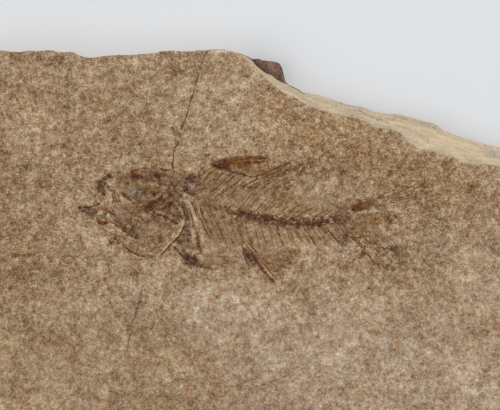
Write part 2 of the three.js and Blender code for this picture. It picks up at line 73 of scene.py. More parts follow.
# The edge of the flat face, clockwise from its upper left corner, in millimetres
FACE_EDGE = [
    (-74.2, 47.2), (-70, 49.4), (-62.5, 50.7), (-59.5, 50.9), (-57.6, 50.7), (-55, 50.5), (-52.6, 50.8),
    (-49.7, 50.8), (-48.3, 51), (-47, 50.9), (-45.7, 50.5), (-44.3, 50.4), (-42.6, 50.6), (-42, 50.4),
    (-40.2, 49.5), (-38.6, 49.2), (-36.6, 49.2), (-34, 49.6), (-31, 49.8), (-28.8, 49.7), (-25.9, 50.1),
    (-24.5, 49.8), (-22.4, 50.2), (-21.2, 50.7), (-18.1, 50.8), (-16.2, 50.6), (-14, 50.6), (-12.1, 50.9),
    (-10.5, 50.9), (-8.3, 51.2), (-6.4, 51.2), (-4.5, 50.6), (-2.4, 49.8), (-0.7, 48.5), (1.3, 46.7),
    (3.1, 44.9), (5.1, 42.9), (6.4, 41.8), (8.4, 40.5), (10.5, 39.6), (12.1, 38.8), (13.8, 37.8),
    (16.4, 36.7), (19.5, 35.8), (21.8, 35.3), (24.8, 34.9), (27.1, 34.1), (29.3, 32.7), (31.4, 32.3),
    (33.1, 32), (35.7, 31.2), (37.1, 29.3), (38.8, 28.3), (40.2, 27.2), (43.3, 27), (46.4, 25.8),
    (48.6, 25.2), (50.9, 24), (53.1, 23.7), (55.5, 23.7), (59.5, 23.1), (64, 21.6), (67.4, 18.4),
    (69.6, 13.4), (71.2, 6), (72.4, -4), (71, -13), (70.4, -19), (66.5, -23.5), (63.2, -26.8), (60.7, -30.2),
    (59.5, -32), (58, -34.5), (56.6, -36.8), (54.5, -41.5), (50.8, -45.4), (43, -47.8), (33, -48.6),
    (22, -47.5), (10, -48.7), (-4, -49.4), (-18, -48.1), (-30, -49), (-42, -48.2), (-54, -47), (-63, -44.4),
    (-69.4, -38.8), (-72.4, -30), (-71.4, -20), (-73.6, -8.5), (-72.4, 4), (-74.2, 16), (-73, 28),
    (-74.6, 38),
]

# The foot of the broken slope below that edge
SLOPE_FOOT = [
    (-75.6, 48), (-70, 49.6), (-62.5, 50.9), (-55, 50.6), (-48.3, 51), (-43, 50.5), (-40, 49.4),
    (-36.6, 49.3), (-32, 49.9), (-26, 50.2), (-19.2, 50.9), (-13, 50.9), (-9.2, 51.2), (-7, 51.1),
    (-4.5, 50.6), (-2.2, 50.1), (0.5, 48.8), (1.5, 47.4), (3.1, 46.2), (5.1, 45), (7.4, 43.4), (8.5, 43),
    (10.5, 42.4), (12.7, 41), (13.5, 40.9), (16.4, 40.5), (18.8, 39.7), (21, 38.9), (23.4, 38.2),
    (25.5, 37.8), (28.2, 37.2), (29.4, 36.6), (31.8, 36.1), (33.2, 35.8), (34.4, 36), (35.8, 35.8),
    (38.6, 35), (41.5, 34.2), (43.2, 33.8), (44.8, 33.2), (45.8, 32.4), (46.7, 31.8), (48.6, 31), (51, 30.1),
    (54, 29.4), (57, 28.5), (59.6, 28), (63.5, 26.6), (68.4, 23.6), (73, 16.8), (76, 8), (77.6, -2),
    (76, -12), (75.2, -19), (72.5, -25), (68.4, -30), (65.4, -34.8), (62.8, -39), (60, -44), (55.6, -48),
    (49, -50), (44, -50.4), (32, -50.8), (20, -49.6), (8, -51), (-4, -51.5), (-17, -50.1), (-30, -51.2),
    (-44, -50), (-56, -49), (-65.6, -46), (-72.4, -40), (-75.8, -30.4), (-74.6, -20), (-77.5, -8.5),
    (-75.4, 4), (-77.2, 16), (-75.4, 28), (-76.8, 39),
]

# Where the back layer stands out past the slope's foot: a pale fringe, then the brown knob
BACK_LAYER = [
    (-6, 51), (-4.5, 51), (-2.6, 50.6), (-0.4, 49.7), (0.6, 49), (1.6, 49.2), (2.5, 49), (3.7, 48.7),
    (5.9, 48.5), (7.2, 48), (7.7, 47), (8.1, 45.2), (8.5, 43.5), (9.2, 43.1), (10.6, 42.3),
]

# The hairline cracks in the face, in the photograph's pixels
UPPER_CRACK = [
    (207.4, 52), (204.4, 55), (203.5, 59.4), (201.7, 64.4), (200.6, 67), (199, 72), (198.1, 75.3),
    (196.3, 82.1), (194.9, 87.5), (193.5, 93), (191.3, 98), (190.4, 101), (189, 107.5), (187.2, 113.8),
    (184.9, 121), (183.1, 124.4), (181.3, 128.3), (180.4, 131), (178.9, 141), (178.1, 143.7), (175, 147.3),
    (173.6, 152.8), (173.1, 161), (172.2, 164.6), (173.1, 168.2), (173.8, 172.7),
]
UPPER_CRACK_WIDTHS = [
    0.9, 1, 0.9, 0.8, 0.1, 0.1, 0.8, 1.2, 0.9, 1.1, 2.4, 1.3, 0.8, 1.7, 0.8, 2.1, 1.4, 0.1, 0.1, 1, 1, 0.7,
    0.8, 2, 1.2, 0.8,
]
LOWER_CRACK = [
    (142.7, 286), (140.4, 296), (140.4, 301), (135.8, 312), (135.3, 316.7), (132, 322), (132.7, 329.4),
    (131.2, 334.5), (128.7, 340.3), (127.2, 352),
]
LOWER_CRACK_WIDTHS = [0.3, 0.7, 0.8, 0.9, 1.2, 0.4, 0.2, 0.8, 0.7, 0.2]

# A loose outline round the fish, in pixels, inside which the face is finest
FISH_ZONE = [
    (72, 204), (92, 170), (118, 163), (200, 160), (215, 150), (270, 150), (312, 156), (340, 186), (425, 178),
    (426, 206), (416, 276), (382, 272), (346, 262), (300, 283), (272, 292), (250, 276), (190, 278),
    (150, 264), (104, 254), (74, 226),
]

# A slender bone: the colour laid on it (pale and pink are partly painted highlight) and how strong that is,
# its width in pixels, and the pixels along it
Line = namedtuple("Line", "stain strength width path")
# A thin plate of bone: its stain and strength, how far it rises in millimetres, and the pixels round it
Plate = namedtuple("Plate", "stain strength rise outline")
# Rays spread between two lines of pixels, with their widths in pixels at the root and at the tip
Fan = namedtuple("Fan", "stain strength rays widths bend roots tips")
# Bits of broken bone strewn inside an outline of pixels, within so many degrees of the way that they lie
Crumbs = namedtuple("Crumbs", "stain strength count outline way spread longest", defaults=(0, 180, 2.8))
# One piece, with the imported solid that it stands for and the slot that it takes. Each of its lines holds a
# colour to lay, pale and pink partly painted highlight and grey partly painted shade, with its strength, a
# width and the pixels of one or more bones. Its other lists hold what is named above.
Bones = namedtuple("Bones", "piece node slot lines plates fans crumbs", defaults=((), (), ()))

SNOUT = Bones("snout_bones", "snout", "skull_bone", lines=[
    ("dark", 1, 4, [(111.4, 178.4), (108.8, 175.6), (106, 176.8), (103.8, 180), (101.8, 183.6),
     (100.8, 187)]),
    ("plum", 1, 6.4, [(105.4, 179), (103.2, 182.6), (101.2, 186)]),
    ("dark", 0.9, 3, [(104.6, 180), (102, 184), (100.6, 187)], [(102.8, 187.6), (103.4, 191.6),
     (104.2, 196)]),
    ("red", 1, 4, [(98.4, 184), (98.2, 188.4), (99.4, 193)]),
    ("dark", 0.7, 1.2, [(106, 188), (108.6, 186.6), (111.6, 186.4)], [(111.8, 190.6), (114.6, 193.6),
     (115.6, 198), (117.4, 203), (121, 207)]),
    ("brown", 0.9, 1.6, [(112.4, 193), (113.6, 199), (116, 204)], [(116.4, 191.6), (118.4, 197.6),
     (120.6, 202.6)]),
    ("pale", 0.6, 3, [(107.8, 190), (109.4, 196.4), (110.4, 203), (112.6, 208.6), (116.6, 211)]),
    ("pale", 0.5, 2.2, [(107.6, 181.6), (109.6, 183.6)]),
], plates=[
    ("plum", 1, 0.16, [(96.6, 187), (98.4, 183.6), (101, 180.4), (104, 177.6), (107, 179), (105, 183.4),
     (103.6, 187), (103.4, 191), (104.4, 195.6), (102.4, 195.2), (101, 191), (98.4, 191.4)]),
], crumbs=[
    ("dark", 1, 12, [(97, 182), (104, 177), (110, 175), (108, 182), (105, 197), (98, 194)]),
    ("brown", 0.8, 24, [(106, 186), (118, 188), (122, 207), (109, 210)], 70, 20),
    ("pale", 0.5, 8, [(106, 184), (118, 188), (122, 207), (109, 210)], 70, 20),
])
UPPER_JAW = Bones("upper_jaw_bones", "upper_jaw", "skull_bone", lines=[
    ("dark", 1, 3.4, [(77.6, 207.2), (79.6, 207.8), (81.8, 207.6)]),
    ("dark", 0.9, 1.8, [(81.4, 206.8), (84.6, 207), (90, 207), (94, 205.6), (98, 204), (101, 202.6)]),
    ("ochre", 0.9, 4.4, [(99.6, 207.8), (105, 208.2)]), ("rust", 1, 3, [(105.4, 208.6), (107.4, 210.4)]),
    ("dark", 1, 1.8, [(105.8, 206.8), (108.6, 210.6), (112, 213.8), (115.6, 214)], [(105, 213), (104.8, 216),
     (105.2, 219.4)]),
    ("pale", 0.7, 2.8, [(107.4, 213.6), (107.8, 218.4)], [(99.6, 213), (102.6, 214.6)]),
    ("red", 1, 4, [(97.4, 219.6), (100, 222.4), (104.4, 223.2), (108.4, 221.4)]),
    ("plum", 0.7, 4.4, [(85, 209.6), (88, 213), (92, 214.6)], [(91, 211), (95.6, 214)]),
    ("pink", 0.5, 2.4, [(86.4, 219.6), (89.6, 222.4)]), ("rust", 0.7, 1.6, [(88, 221.6), (91.6, 222.8)]),
], crumbs=[
    ("dark", 0.8, 14, [(81, 207), (94, 207), (98, 212), (96, 219), (86, 217)]),
    ("brown", 0.8, 20, [(83, 208), (98, 206), (100, 218), (88, 219)]),
    ("red", 0.8, 16, [(96, 215), (107, 213), (109, 222), (98, 223)]),
])
LOWER_JAW = Bones("lower_jaw_bones", "lower_jaw", "skull_bone", lines=[
    ("red", 0.7, 3.2, [(112.8, 222.4), (117.6, 225), (122.6, 227.8), (127, 231), (131.6, 234),
     (137.6, 236.6)]),
    ("dark", 0.9, 1.3, [(112.8, 219), (118, 222), (123.8, 225), (129, 229)], [(120, 229.6), (126, 232.6),
     (133, 236.8)]),
    ("pale", 0.6, 3, [(109.6, 223.6), (113.6, 226.6), (118, 229.6), (123, 232.4)]),
    ("pale", 0.4, 1.6, [(126, 236), (133, 239.6), (141, 241.6)]),
    ("brown", 0.8, 1.6, [(99.8, 226.2), (106.4, 230.6), (112, 233.6), (118.6, 236.2), (123.8, 237),
     (126.4, 241)]),
    ("plum", 0.9, 4, [(125.6, 227), (130, 231.4), (134.6, 236)]),
    ("dark", 0.9, 1.8, [(129.6, 229.6), (133, 234), (136.4, 238)]),
], crumbs=[
    ("dark", 0.8, 24, [(121, 224), (132, 226), (141, 237), (134, 240), (124, 232)]),
    ("rust", 0.8, 18, [(110, 220), (124, 226), (130, 233), (114, 227)], 32, 15),
    ("plum", 0.8, 30, [(114, 214), (132, 222), (136, 232), (122, 226)]),
])
THROAT = Bones("throat_bone_set", "throat_bones", "skull_bone", lines=[
    ("dark", 0.9, 2.4, [(109.4, 244.4), (112.6, 242), (115.6, 242.6)], [(117, 239.8), (119, 243)]),
    ("red", 1, 3, [(112.6, 239.4), (115, 238), (117.4, 238)]),
    ("pale", 0.7, 1.8, [(119.4, 241.6), (121.2, 242.8)]),
    ("brown", 0.7, 1.6, [(105.8, 246.4), (108, 244.8), (110.4, 244.4)], [(125, 239.2), (127.3, 242.4)]),
    ("dark", 1, 1.8, [(125, 247), (130.4, 251), (135.6, 253.8), (140, 255.6), (146.5, 255.8)]),
    ("brown", 0.6, 1.2, [(146.5, 255.4), (152, 257)], [(127, 245), (131, 247.6), (137, 249.6), (143, 250)]),
    ("dark", 0.9, 2, [(143.6, 246.6), (145, 247)]),
], crumbs=[
    ("brown", 0.7, 14, [(118, 238), (134, 246), (150, 254), (140, 258), (120, 248)]),
    ("rust", 0.8, 16, [(106, 244), (112, 236), (121, 237), (122, 244), (110, 247)]),
])
SKULL = Bones("skull_bones", "skull", "skull_bone", lines=[
    ("brown", 1, 1.5, [(130, 171.8), (135.4, 170.4), (139.4, 168.8), (145.2, 167.7), (148.6, 168.5),
     (150, 169.8), (152.6, 167.8), (155, 166.6)]),
    ("dark", 0.8, 1.2, [(159.6, 168.6), (165.4, 170.4), (170.6, 169)]),
    ("ochre", 0.9, 2, [(129, 173.4), (136.6, 172.6), (143, 171)]),
    ("red", 1, 7.4, [(154.4, 173.8), (158, 175.4), (161.6, 177)]),
    ("red", 0.5, 3, [(130.4, 178), (134, 180), (137.6, 180.6)]),
    ("brown", 0.6, 3, [(120.6, 179.4), (124, 176.6), (129, 176.8), (135, 175), (141, 173.6), (146.4, 175.4)]),
    ("plum", 0.5, 4, [(160, 181), (163, 183), (166, 184.6)], [(170, 181), (173, 184.6), (175.6, 190)],
     [(172, 180), (177.6, 181.6)]),
    ("dark", 0.8, 1.8, [(165.6, 190.6), (165.6, 196)], [(121.6, 183.6), (127, 182.4), (132, 184.4)]),
    ("pale", 0.7, 2, [(162.4, 191), (164.6, 186.4)]),
    ("brown", 1, 3.6, [(139.8, 206.8), (148, 206.4), (156.6, 203), (161, 197), (165, 189.6)]),
    ("brown", 1, 1.6, [(163.6, 191), (161, 198), (157.4, 203), (155.4, 211)], [(166, 197), (162, 204),
     (158, 209)]),
    ("red", 1, 2, [(120.6, 193.2), (126.4, 197.2), (131, 200.6)]),
    ("red", 0.8, 1.8, [(130, 200), (135.6, 204.2), (140.4, 206.8), (147.4, 208.8), (153.4, 211.2)]),
    ("dark", 0.9, 1, [(121, 192.6), (127, 196.6), (132, 200.2)]),
    # The pink line under the dark one is a painted highlight
    ("pink", 0.5, 3, [(118.6, 197), (123.6, 200), (129.6, 203.6)]),
    ("ochre", 0.8, 4, [(145.6, 187.4), (146.6, 195)]),
], plates=[
    ("brown", 0.3, 0.1, [(114, 184), (118, 178), (129, 172), (146, 168.4), (158, 169.6), (170, 173),
     (180, 178), (182, 190), (176, 204), (166, 212), (156, 210), (144, 206), (131, 198), (120, 191)]),
], crumbs=[
    ("dark", 0.8, 60, [(134, 179), (144, 174), (156, 171), (178, 177), (180, 192), (166, 190), (150, 184),
     (126, 184)]),
    ("rust", 0.8, 70, [(119, 177), (144, 171), (166, 172), (170, 180), (152, 196), (140, 184), (122, 185)]),
    ("plum", 0.8, 60, [(150, 176), (180, 179), (181, 198), (168, 196), (158, 186)]),
    ("pale", 0.7, 56, [(120, 186), (146, 174), (164, 176), (180, 188), (181, 200), (160, 200), (134, 199)]),
    ("brown", 0.9, 80, [(118, 178), (150, 172), (180, 188), (178, 206), (166, 213), (140, 203), (140, 184)]),
    # Grey bits in the orbit are partly real grey and partly painted shade
    ("grey", 0.9, 30, [(124, 186), (140, 184), (141, 196), (134, 200), (126, 197)]),
    ("ochre", 0.9, 40, [(142, 184), (154, 188), (170, 200), (176, 210), (160, 208), (144, 198)]),
])
CHEEK = Bones("cheek_bones", "cheek", "skull_bone", lines=[
    ("dark", 0.9, 1.8, [(129.6, 218.6), (132.4, 222)], [(144, 220.6), (147.4, 217)], [(143.4, 223.4),
     (146.8, 220)], [(136, 224.6), (139, 221)]),
    ("red", 0.9, 2.2, [(128, 211), (132, 214), (131, 219)], [(140, 207), (145, 210), (149, 213)], [(136, 212),
     (141, 216)]),
    ("brown", 0.9, 1.8, [(152.6, 212.6), (149, 217), (145.6, 223), (143, 228)], [(124, 212), (129.6, 213.6),
     (135, 217.4)], [(119, 213.6), (122.6, 218.6), (127, 222.4)], [(137.6, 229.6), (142, 231.6), (144, 236)],
     [(141, 208), (137, 214), (134, 222)]),
    ("pale", 0.6, 2, [(146, 214), (143.6, 218)], [(121, 209), (127, 212)], [(138, 232), (142, 226)]),
], plates=[
    ("brown", 0.25, 0.1, [(119, 203), (127, 202.6), (136, 207), (148, 210.6), (154, 214), (150, 222),
     (146, 232), (139, 238), (131, 232), (121, 226), (115, 219), (114, 209)]),
], crumbs=[
    ("dark", 0.8, 60, [(122, 206), (136, 206), (154, 213), (148, 226), (138, 234), (126, 222)]),
    ("rust", 0.9, 60, [(124, 205), (154, 210), (148, 222), (128, 221)]),
    ("pale", 0.7, 44, [(116, 206), (140, 208), (152, 214), (142, 236), (120, 222)]),
    ("brown", 0.8, 60, [(114, 206), (126, 204), (152, 211), (142, 236), (122, 224)]),
])
GILL_COVER = Bones("gill_cover_bone", "gill_cover", "skull_bone", lines=[
    ("dark", 1, 3.4, [(153, 211.2), (155.6, 212.6)]),
    ("dark", 1, 1.6, [(155, 213.2), (161, 215.2), (164.4, 216.4), (168.6, 218.2), (172.4, 221),
     (178, 224.4)]),
    ("red", 0.7, 2.4, [(163, 218.4), (169, 220.8)]),
    # The pale strips on the rear border are painted highlight, and the dark line beside them is partly
    # painted shade
    ("pale", 0.75, 2.6, [(183.8, 216.6), (182.6, 225), (179.8, 231.6), (175.4, 238)]),
    ("dark", 1, 1.4, [(184.6, 224), (182.4, 229.6), (178.6, 236), (174.6, 240.8), (168, 247.4),
     (160.2, 256)]),
    ("pale", 0.6, 1.4, [(173, 240), (166.6, 246.6), (161, 253)]),
    ("plum", 1, 3.6, [(182.8, 200), (184, 207), (185.6, 214), (187, 222)]),
    ("red", 0.9, 2.2, [(184.4, 208), (185.6, 214), (187, 220)]),
    ("dark", 0.9, 1.3, [(182.6, 200), (183.4, 208), (185, 214)], [(186.6, 208), (188.6, 216), (189.6, 226)]),
    ("rust", 0.6, 2.4, [(149, 241), (155, 242)]),
], plates=[
    ("brown", 0.25, 0.1, [(152, 213), (160, 216), (170, 220), (179, 224), (182, 226), (176, 236), (168, 246),
     (160, 254), (152, 250), (147, 240), (147, 226)]),
], crumbs=[
    ("brown", 0.8, 80, [(150, 214), (166, 219), (180, 226), (176, 238), (160, 252), (146, 248)]),
    ("rust", 0.7, 26, [(146, 228), (160, 232), (172, 240), (160, 252), (146, 250)]),
    ("plum", 0.7, 20, [(170, 212), (182, 212), (182, 224), (174, 222)]),
    ("pale", 0.7, 50, [(150, 221), (176, 230), (174, 238), (160, 252), (148, 244)]),
])
SHOULDER_GIRDLE = Bones("shoulder_bones", "shoulder_girdle", "skull_bone", lines=[
    ("pale", 0.7, 3.8, [(187, 199.6), (190.4, 206.6), (193.4, 214), (195.8, 221), (197, 227)]),
    ("pale", 0.6, 3.2, [(193.6, 228), (192.8, 236), (193.4, 244)], [(201.4, 228.6), (201.6, 236),
     (203, 243)]),
    ("brown", 0.95, 2.4, [(196.6, 229.6), (197.4, 236), (198, 242), (199.4, 248.6), (201, 255.4)]),
    ("brown", 0.6, 1, [(198.6, 231), (199.6, 240), (201.2, 248), (202.6, 255.6)]),
    ("dark", 0.8, 1.2, [(189, 206), (191, 213.4), (192.6, 221), (193.6, 228)], [(190.4, 200), (194.4, 209),
     (197.6, 219)]),
    ("plum", 0.8, 4, [(185.6, 184), (188.6, 188.6), (191, 192.4), (193, 196)], [(184.4, 181), (188.4, 180.4),
     (197, 180)]),
    ("dark", 1, 2.6, [(184.6, 179.4), (189.6, 178.4), (197, 177)], [(186, 186), (190.4, 195)]),
    ("red", 0.9, 3, [(192.4, 192.6), (197.4, 195.6)]),
], crumbs=[
    ("dark", 0.9, 26, [(182, 176), (200, 175), (201, 190), (194, 200), (184, 190)]),
    ("brown", 0.9, 20, [(182, 176), (200, 175), (202, 192), (186, 192)]),
    ("plum", 0.9, 40, [(183, 216), (190, 222), (192, 246), (178, 246)]),
    ("pale", 0.7, 16, [(178, 186), (188, 192), (200, 224), (190, 214), (182, 204)]),
])
COLUMN = [
    (191.5, 192.5), (198, 197.5), (205, 202), (215, 206.4), (225.9, 209.8), (237, 213.7), (251.4, 216.8),
    (266.7, 219), (282, 220.6), (295.3, 222.8), (307.6, 222.8), (320, 222), (331, 220.6), (339, 218),
    (345, 214.4), (350, 210),
]
COLUMN_SIDES = [
    (222, 205), (240, 209), (262, 214), (290, 217.6), (320, 217), (336, 215), (345, 217), (342, 222.6),
    (330, 226), (312, 228), (284, 226), (262, 223), (240, 219), (222, 214),
]
RIBS = [
    ("brown", 1, 1.3, [(192.8, 199), (195.9, 208), (199, 215.8), (202.8, 223.5), (205.9, 231), (210.4, 239)],
     [(199, 203.6), (202.8, 212.7), (206.6, 222), (210.6, 231), (214.6, 241)]),
    # Pink lines beside the ribs are painted highlights
    ("pink", 0.52, 2.2, [(195.4, 200), (198.6, 206.6), (199.9, 212.7)], [(203.6, 213.6), (206, 219.6)]),
    ("brown", 0.88, 1, [(196.6, 202), (200.6, 210.6), (204.6, 220), (208.4, 229), (212.6, 239)],
     [(205, 206.6), (208.6, 215), (212.6, 224), (217, 234), (221.4, 243.6)], [(206.6, 202.6), (210.4, 209.7),
     (211.2, 217.3), (213.5, 225.7)], [(214.6, 213), (217.4, 221.4), (220.4, 229), (224.4, 238), (228, 246)],
     [(222, 217), (225.6, 226), (229.4, 235), (234, 245)]),
    ("brown", 1, 1.4, [(215.4, 205.4), (216, 208.6), (216.8, 211.6)], [(221.4, 215.8), (224, 217.2),
     (226.6, 218.4)]),
    ("brown", 0.91, 1.1, [(228.6, 217.6), (230.6, 220.6), (232.8, 223.8)], [(235.4, 217.6), (236.6, 221),
     (237.4, 224.6)]),
    ("brown", 0.94, 1.2, [(236.6, 221), (238.4, 229), (241.4, 237.6), (244, 244)], [(244.7, 216.9),
     (245.6, 222), (247, 229), (249.6, 238), (253.8, 247.6)], [(251.6, 222), (254.6, 227.3), (256.4, 233),
     (258.4, 240.6)]),
    ("brown", 1, 1.4, [(262.2, 229.6), (263.6, 236), (265.2, 240.6), (267.1, 244.4)]),
    ("brown", 0.88, 1, [(260, 222), (261.4, 226), (262.2, 229.6)], [(269.6, 225), (270.4, 231.4),
     (272.4, 242.6)], [(276.4, 223.6), (277.4, 228), (279.4, 235), (283.6, 246)], [(285.6, 226),
     (287.4, 231.4), (289.4, 237)]),
    ("brown", 0.98, 1.4, [(276.6, 224.6), (278.3, 229.6)], [(279, 232), (280.8, 238.4)], [(286.8, 230.6),
     (289.2, 236.4)]),
    ("brown", 0.66, 1, [(293, 227), (296.4, 233), (300.6, 238.6), (304.6, 243.4)], [(310.4, 226), (316, 233),
     (322.6, 241)], [(334.6, 223), (337.6, 229), (341, 236)]),
    ("brown", 1, 1.3, [(302.4, 226), (306.6, 231.4), (311, 237), (314.4, 242.6), (316.4, 247.4)]),
    ("brown", 0.91, 1.2, [(320.3, 228.2), (324.6, 231), (329, 234)]),
    ("red", 1, 1.6, [(327.8, 228.8), (331.6, 233.8), (335.4, 238.6), (339.4, 243), (342, 246.4)]),
    # Pink lines beside the ribs are painted highlights
    ("pink", 0.45, 1.6, [(326.6, 230.8), (330.6, 236), (334.6, 241)], [(304.6, 231.4), (309, 237.6)]),
    ("brown", 1, 1.3, [(207.6, 203.6), (212.4, 213.6), (218.6, 227.6), (224.6, 243)]),
]
NEURAL_SPINES = [
    ("brown", 1, 1.1, [(241.5, 208), (245, 202.6), (249.2, 197)], [(248, 210), (252.6, 204.4),
     (259.4, 197.4)], [(257, 210), (262.4, 203.4), (268.6, 197.2)], [(264.4, 211.4), (270, 204.4),
     (276.2, 198)], [(278.2, 215.8), (283.4, 210), (289.6, 204.8)], [(286.8, 215), (292.6, 209.4),
     (299.7, 203.9)], [(297.6, 217.4), (305, 211.6), (313.6, 207.6)], [(313.4, 218), (320, 213.4),
     (329.4, 209.4)], [(320.3, 218), (325.6, 214.6), (332, 210.4)], [(338.6, 217), (343, 211.6),
     (349, 206.6)]),
    ("brown", 0.77, 0.94, [(232.4, 207.4), (237, 201.4), (242, 196)], [(271.6, 213.8), (277, 207.4),
     (282.6, 202)], [(291.6, 217.6), (297.6, 211.4), (303.4, 207)], [(305, 218.6), (311.4, 213.4),
     (320, 209.4)], [(328, 219), (334, 213.6), (340.6, 209.4)], [(223, 204.6), (229, 199), (235, 195)],
     [(333, 217.4), (339, 211.6), (345, 206)]),
    ("brown", 0.78, 0.94, [(324, 214.6), (329.6, 211.6), (333, 210.4)], [(297.8, 216.4), (302, 213)]),
    # Pale and pink lines beside the spines are painted highlights
    ("pale", 0.6, 2.6, [(303.8, 218), (306.8, 216), (310, 215)]),
    ("pale", 0.42, 1.2, [(285.9, 225.2), (289, 226), (292.4, 227)]),
    ("pink", 0.38, 1.4, [(262.4, 200.6), (266, 197.4)], [(252, 206.6), (256.6, 201.6)], [(309, 213.4),
     (315, 210.4)]),
]
BACKBONE = Bones("backbone_and_ribs", "backbone", "backbone_bone", lines=[
    *RIBS, *NEURAL_SPINES,
    ("red", 0.8, 2.4, [(224.6, 209), (230, 211), (236, 212.4)], [(241, 213), (246.4, 214.4)]),
    ("dark", 0.6, 2.6, [(262.6, 216.4), (268.6, 218), (274.6, 219.2)], [(279, 221), (288, 223.4), (297, 225)],
     [(303, 221.6), (312, 222.6), (322, 221.4), (331, 221)]),
    ("plum", 0.6, 2, [(250, 213.8), (257, 214.6), (263, 215)], [(340, 214.4), (345, 210)]),
], fans=[
    ("brown", 0.5, 11, (1, 0.8), -0.03, [(194, 199), (203, 205), (213, 210), (222, 214)], [(211, 241),
     (218, 244), (226, 247), (233, 248)]),
    ("brown", 0.69, 17, (1, 0.7), -0.03, [(226, 217), (250, 221), (276, 225), (300, 229)], [(239, 246),
     (258, 251), (284, 248), (312, 247)]),
    ("brown", 0.64, 9, (1, 0.7), -0.02, [(302, 228), (318, 227), (332, 225), (342, 221)], [(316, 247),
     (330, 247), (344, 245), (352, 238)]),
    ("brown", 0.69, 12, (1, 0.7), 0.03, [(204, 199), (216, 204), (228, 208), (240, 211)], [(224, 178),
     (238, 180), (252, 182), (264, 184)]),
    ("brown", 0.64, 15, (1, 0.7), 0.03, [(242, 212), (262, 216), (282, 219), (302, 220)], [(266, 186),
     (284, 192), (302, 198), (320, 203)]),
    ("brown", 0.59, 9, (1, 0.7), 0.03, [(302, 219), (318, 219), (332, 218), (344, 213)], [(322, 204),
     (334, 206), (346, 204), (356, 201)]),
], crumbs=[
    ("dark", 0.9, 100, COLUMN_SIDES), ("red", 0.9, 60, COLUMN_SIDES), ("pale", 0.6, 60, COLUMN_SIDES),
    ("brown", 0.9, 40, [(200, 200), (226, 206), (232, 220), (204, 210)]),
    ("plum", 0.8, 24, [(240, 210), (270, 214), (268, 222), (240, 218)]),
])
BLADE = [
    (211.4, 163.4), (215.7, 162), (221.4, 159.6), (228.5, 158.1), (235.6, 157.1), (243.5, 156.7),
    (250.6, 156.3), (257.7, 155.8), (264.6, 156.2), (267.6, 158.4), (265, 159.8), (265, 161.6), (262, 163),
    (257, 164), (249.2, 165.4), (240.6, 168), (233.5, 168.6), (228, 169.8), (217.1, 168.7), (212.1, 165.1),
]
UNDER_BLADE = [(231, 169), (250, 166), (265, 164), (266, 172), (256, 174.8), (244, 173)]
FIRST_DORSAL = Bones("first_dorsal_rays", "first_dorsal_fin", "fin_bone", lines=[
    ("brown", 0.9, 1.1, [(212, 163.2), (216, 161.6), (222, 159.6), (230, 158), (240, 157), (252, 156.4),
     (264, 156.4)]),
    ("red", 1, 3.4, [(213, 164.4), (217.6, 165.8), (222.4, 167), (228, 168.4)]),
    ("dark", 0.8, 1.8, [(218, 168.6), (226.4, 170.2), (233.5, 171.6), (240, 173.6)]),
    ("dark", 1, 2.6, [(239, 172.8), (242.6, 174.4), (246.4, 175.6)]),
    ("dark", 0.9, 1.5, [(245, 175.4), (250.6, 176.6), (256.3, 176.2), (262, 174.8)]),
    ("dark", 0.6, 1, [(248, 158), (260, 157.6), (267.6, 158.4)], [(244, 164.6), (254, 162.8), (265, 161.6)]),
    ("pale", 0.6, 1.1, [(249, 161.2), (257, 160.4), (265.6, 160)]),
    ("brown", 1, 1.6, [(226, 164.6), (238, 163.6), (250, 162.2), (264, 161)], [(224, 161.6), (238, 159.4),
     (252, 158.4), (266, 158)]),
    ("rust", 0.9, 1.2, [(224, 163), (238, 161.4), (248, 160.4)], [(230, 166.4), (240, 165.2), (252, 163.8)]),
    ("brown", 1, 1.1, [(197.4, 175.2), (200, 171.4), (202.8, 167.6)], [(195.9, 178.3), (199.4, 176.6),
     (204, 173), (208.1, 169.9), (213.4, 167.4)], [(203.4, 181), (208.6, 175.4), (213.5, 169.9)],
     [(201.7, 182.3), (206, 177), (210.6, 171.4)], [(212.7, 179.4), (215.6, 175.4), (218.1, 171.2)],
     [(215.8, 181), (219.8, 175.6), (223.6, 170.7)], [(212.4, 190), (218.4, 186), (226.8, 178.9),
     (231.1, 174.5), (234.2, 172.4)], [(222.4, 186.4), (229.4, 180), (236.8, 174)], [(208.9, 192), (214, 190),
     (219, 187)], [(212.4, 198.4), (218.6, 195), (223.5, 192), (231.9, 186), (240, 178.4)], [(225.7, 197.4),
     (230, 194.4), (234.4, 191)], [(228.2, 189), (234, 184.4), (240.6, 179)]),
    ("brown", 1, 1.6, [(241.4, 188), (249.5, 182.4), (259.8, 178)]),
    ("brown", 0.9, 1.1, [(246.4, 189.4), (254, 184.6), (262.6, 180)], [(196.7, 190), (202, 189),
     (208.4, 187.4)], [(197, 186), (205, 184)]),
    ("brown", 0.6, 1, [(207, 184.6), (213.6, 177.6), (219.6, 171.6)], [(219.6, 184), (225, 178.4),
     (230, 172.4)], [(232, 191), (240, 185), (247, 179.4)]),
    ("pale", 0.45, 1.5, [(224.6, 182), (231, 176)], [(218, 192.6), (226, 187)], [(233, 183.6),
     (238.4, 179.4)], [(219, 180), (224, 175)]),
], plates=[
    ("rust", 0.9, 0.08, BLADE),
], fans=[
    ("brown", 0.5, 5, (0.9, 0.7), 0.03, [(232, 168.4), (238, 171), (246, 173.6), (254, 175)], [(250, 167),
     (260, 167.4), (264, 169), (266, 171.6)]),
    ("brown", 0.7, 12, (0.9, 0.8), 0.02, [(197, 189), (206, 190), (216, 193), (226, 198)], [(210, 170),
     (220, 171), (232, 174), (246, 178)]),
], crumbs=[
    ("dark", 0.7, 12, [(212, 163), (222, 160), (232, 162), (230, 169), (218, 168.6)], -4, 14, 4),
    ("brown", 0.9, 12, BLADE, -7, 3, 8), ("rust", 0.9, 12, BLADE, -7, 3, 8), ("ochre", 0.9, 22, UNDER_BLADE),
    ("brown", 0.7, 12, UNDER_BLADE, -10, 20),
    ("plum", 0.8, 10, [(236, 171), (247, 174), (244, 178), (238, 177)]),
])
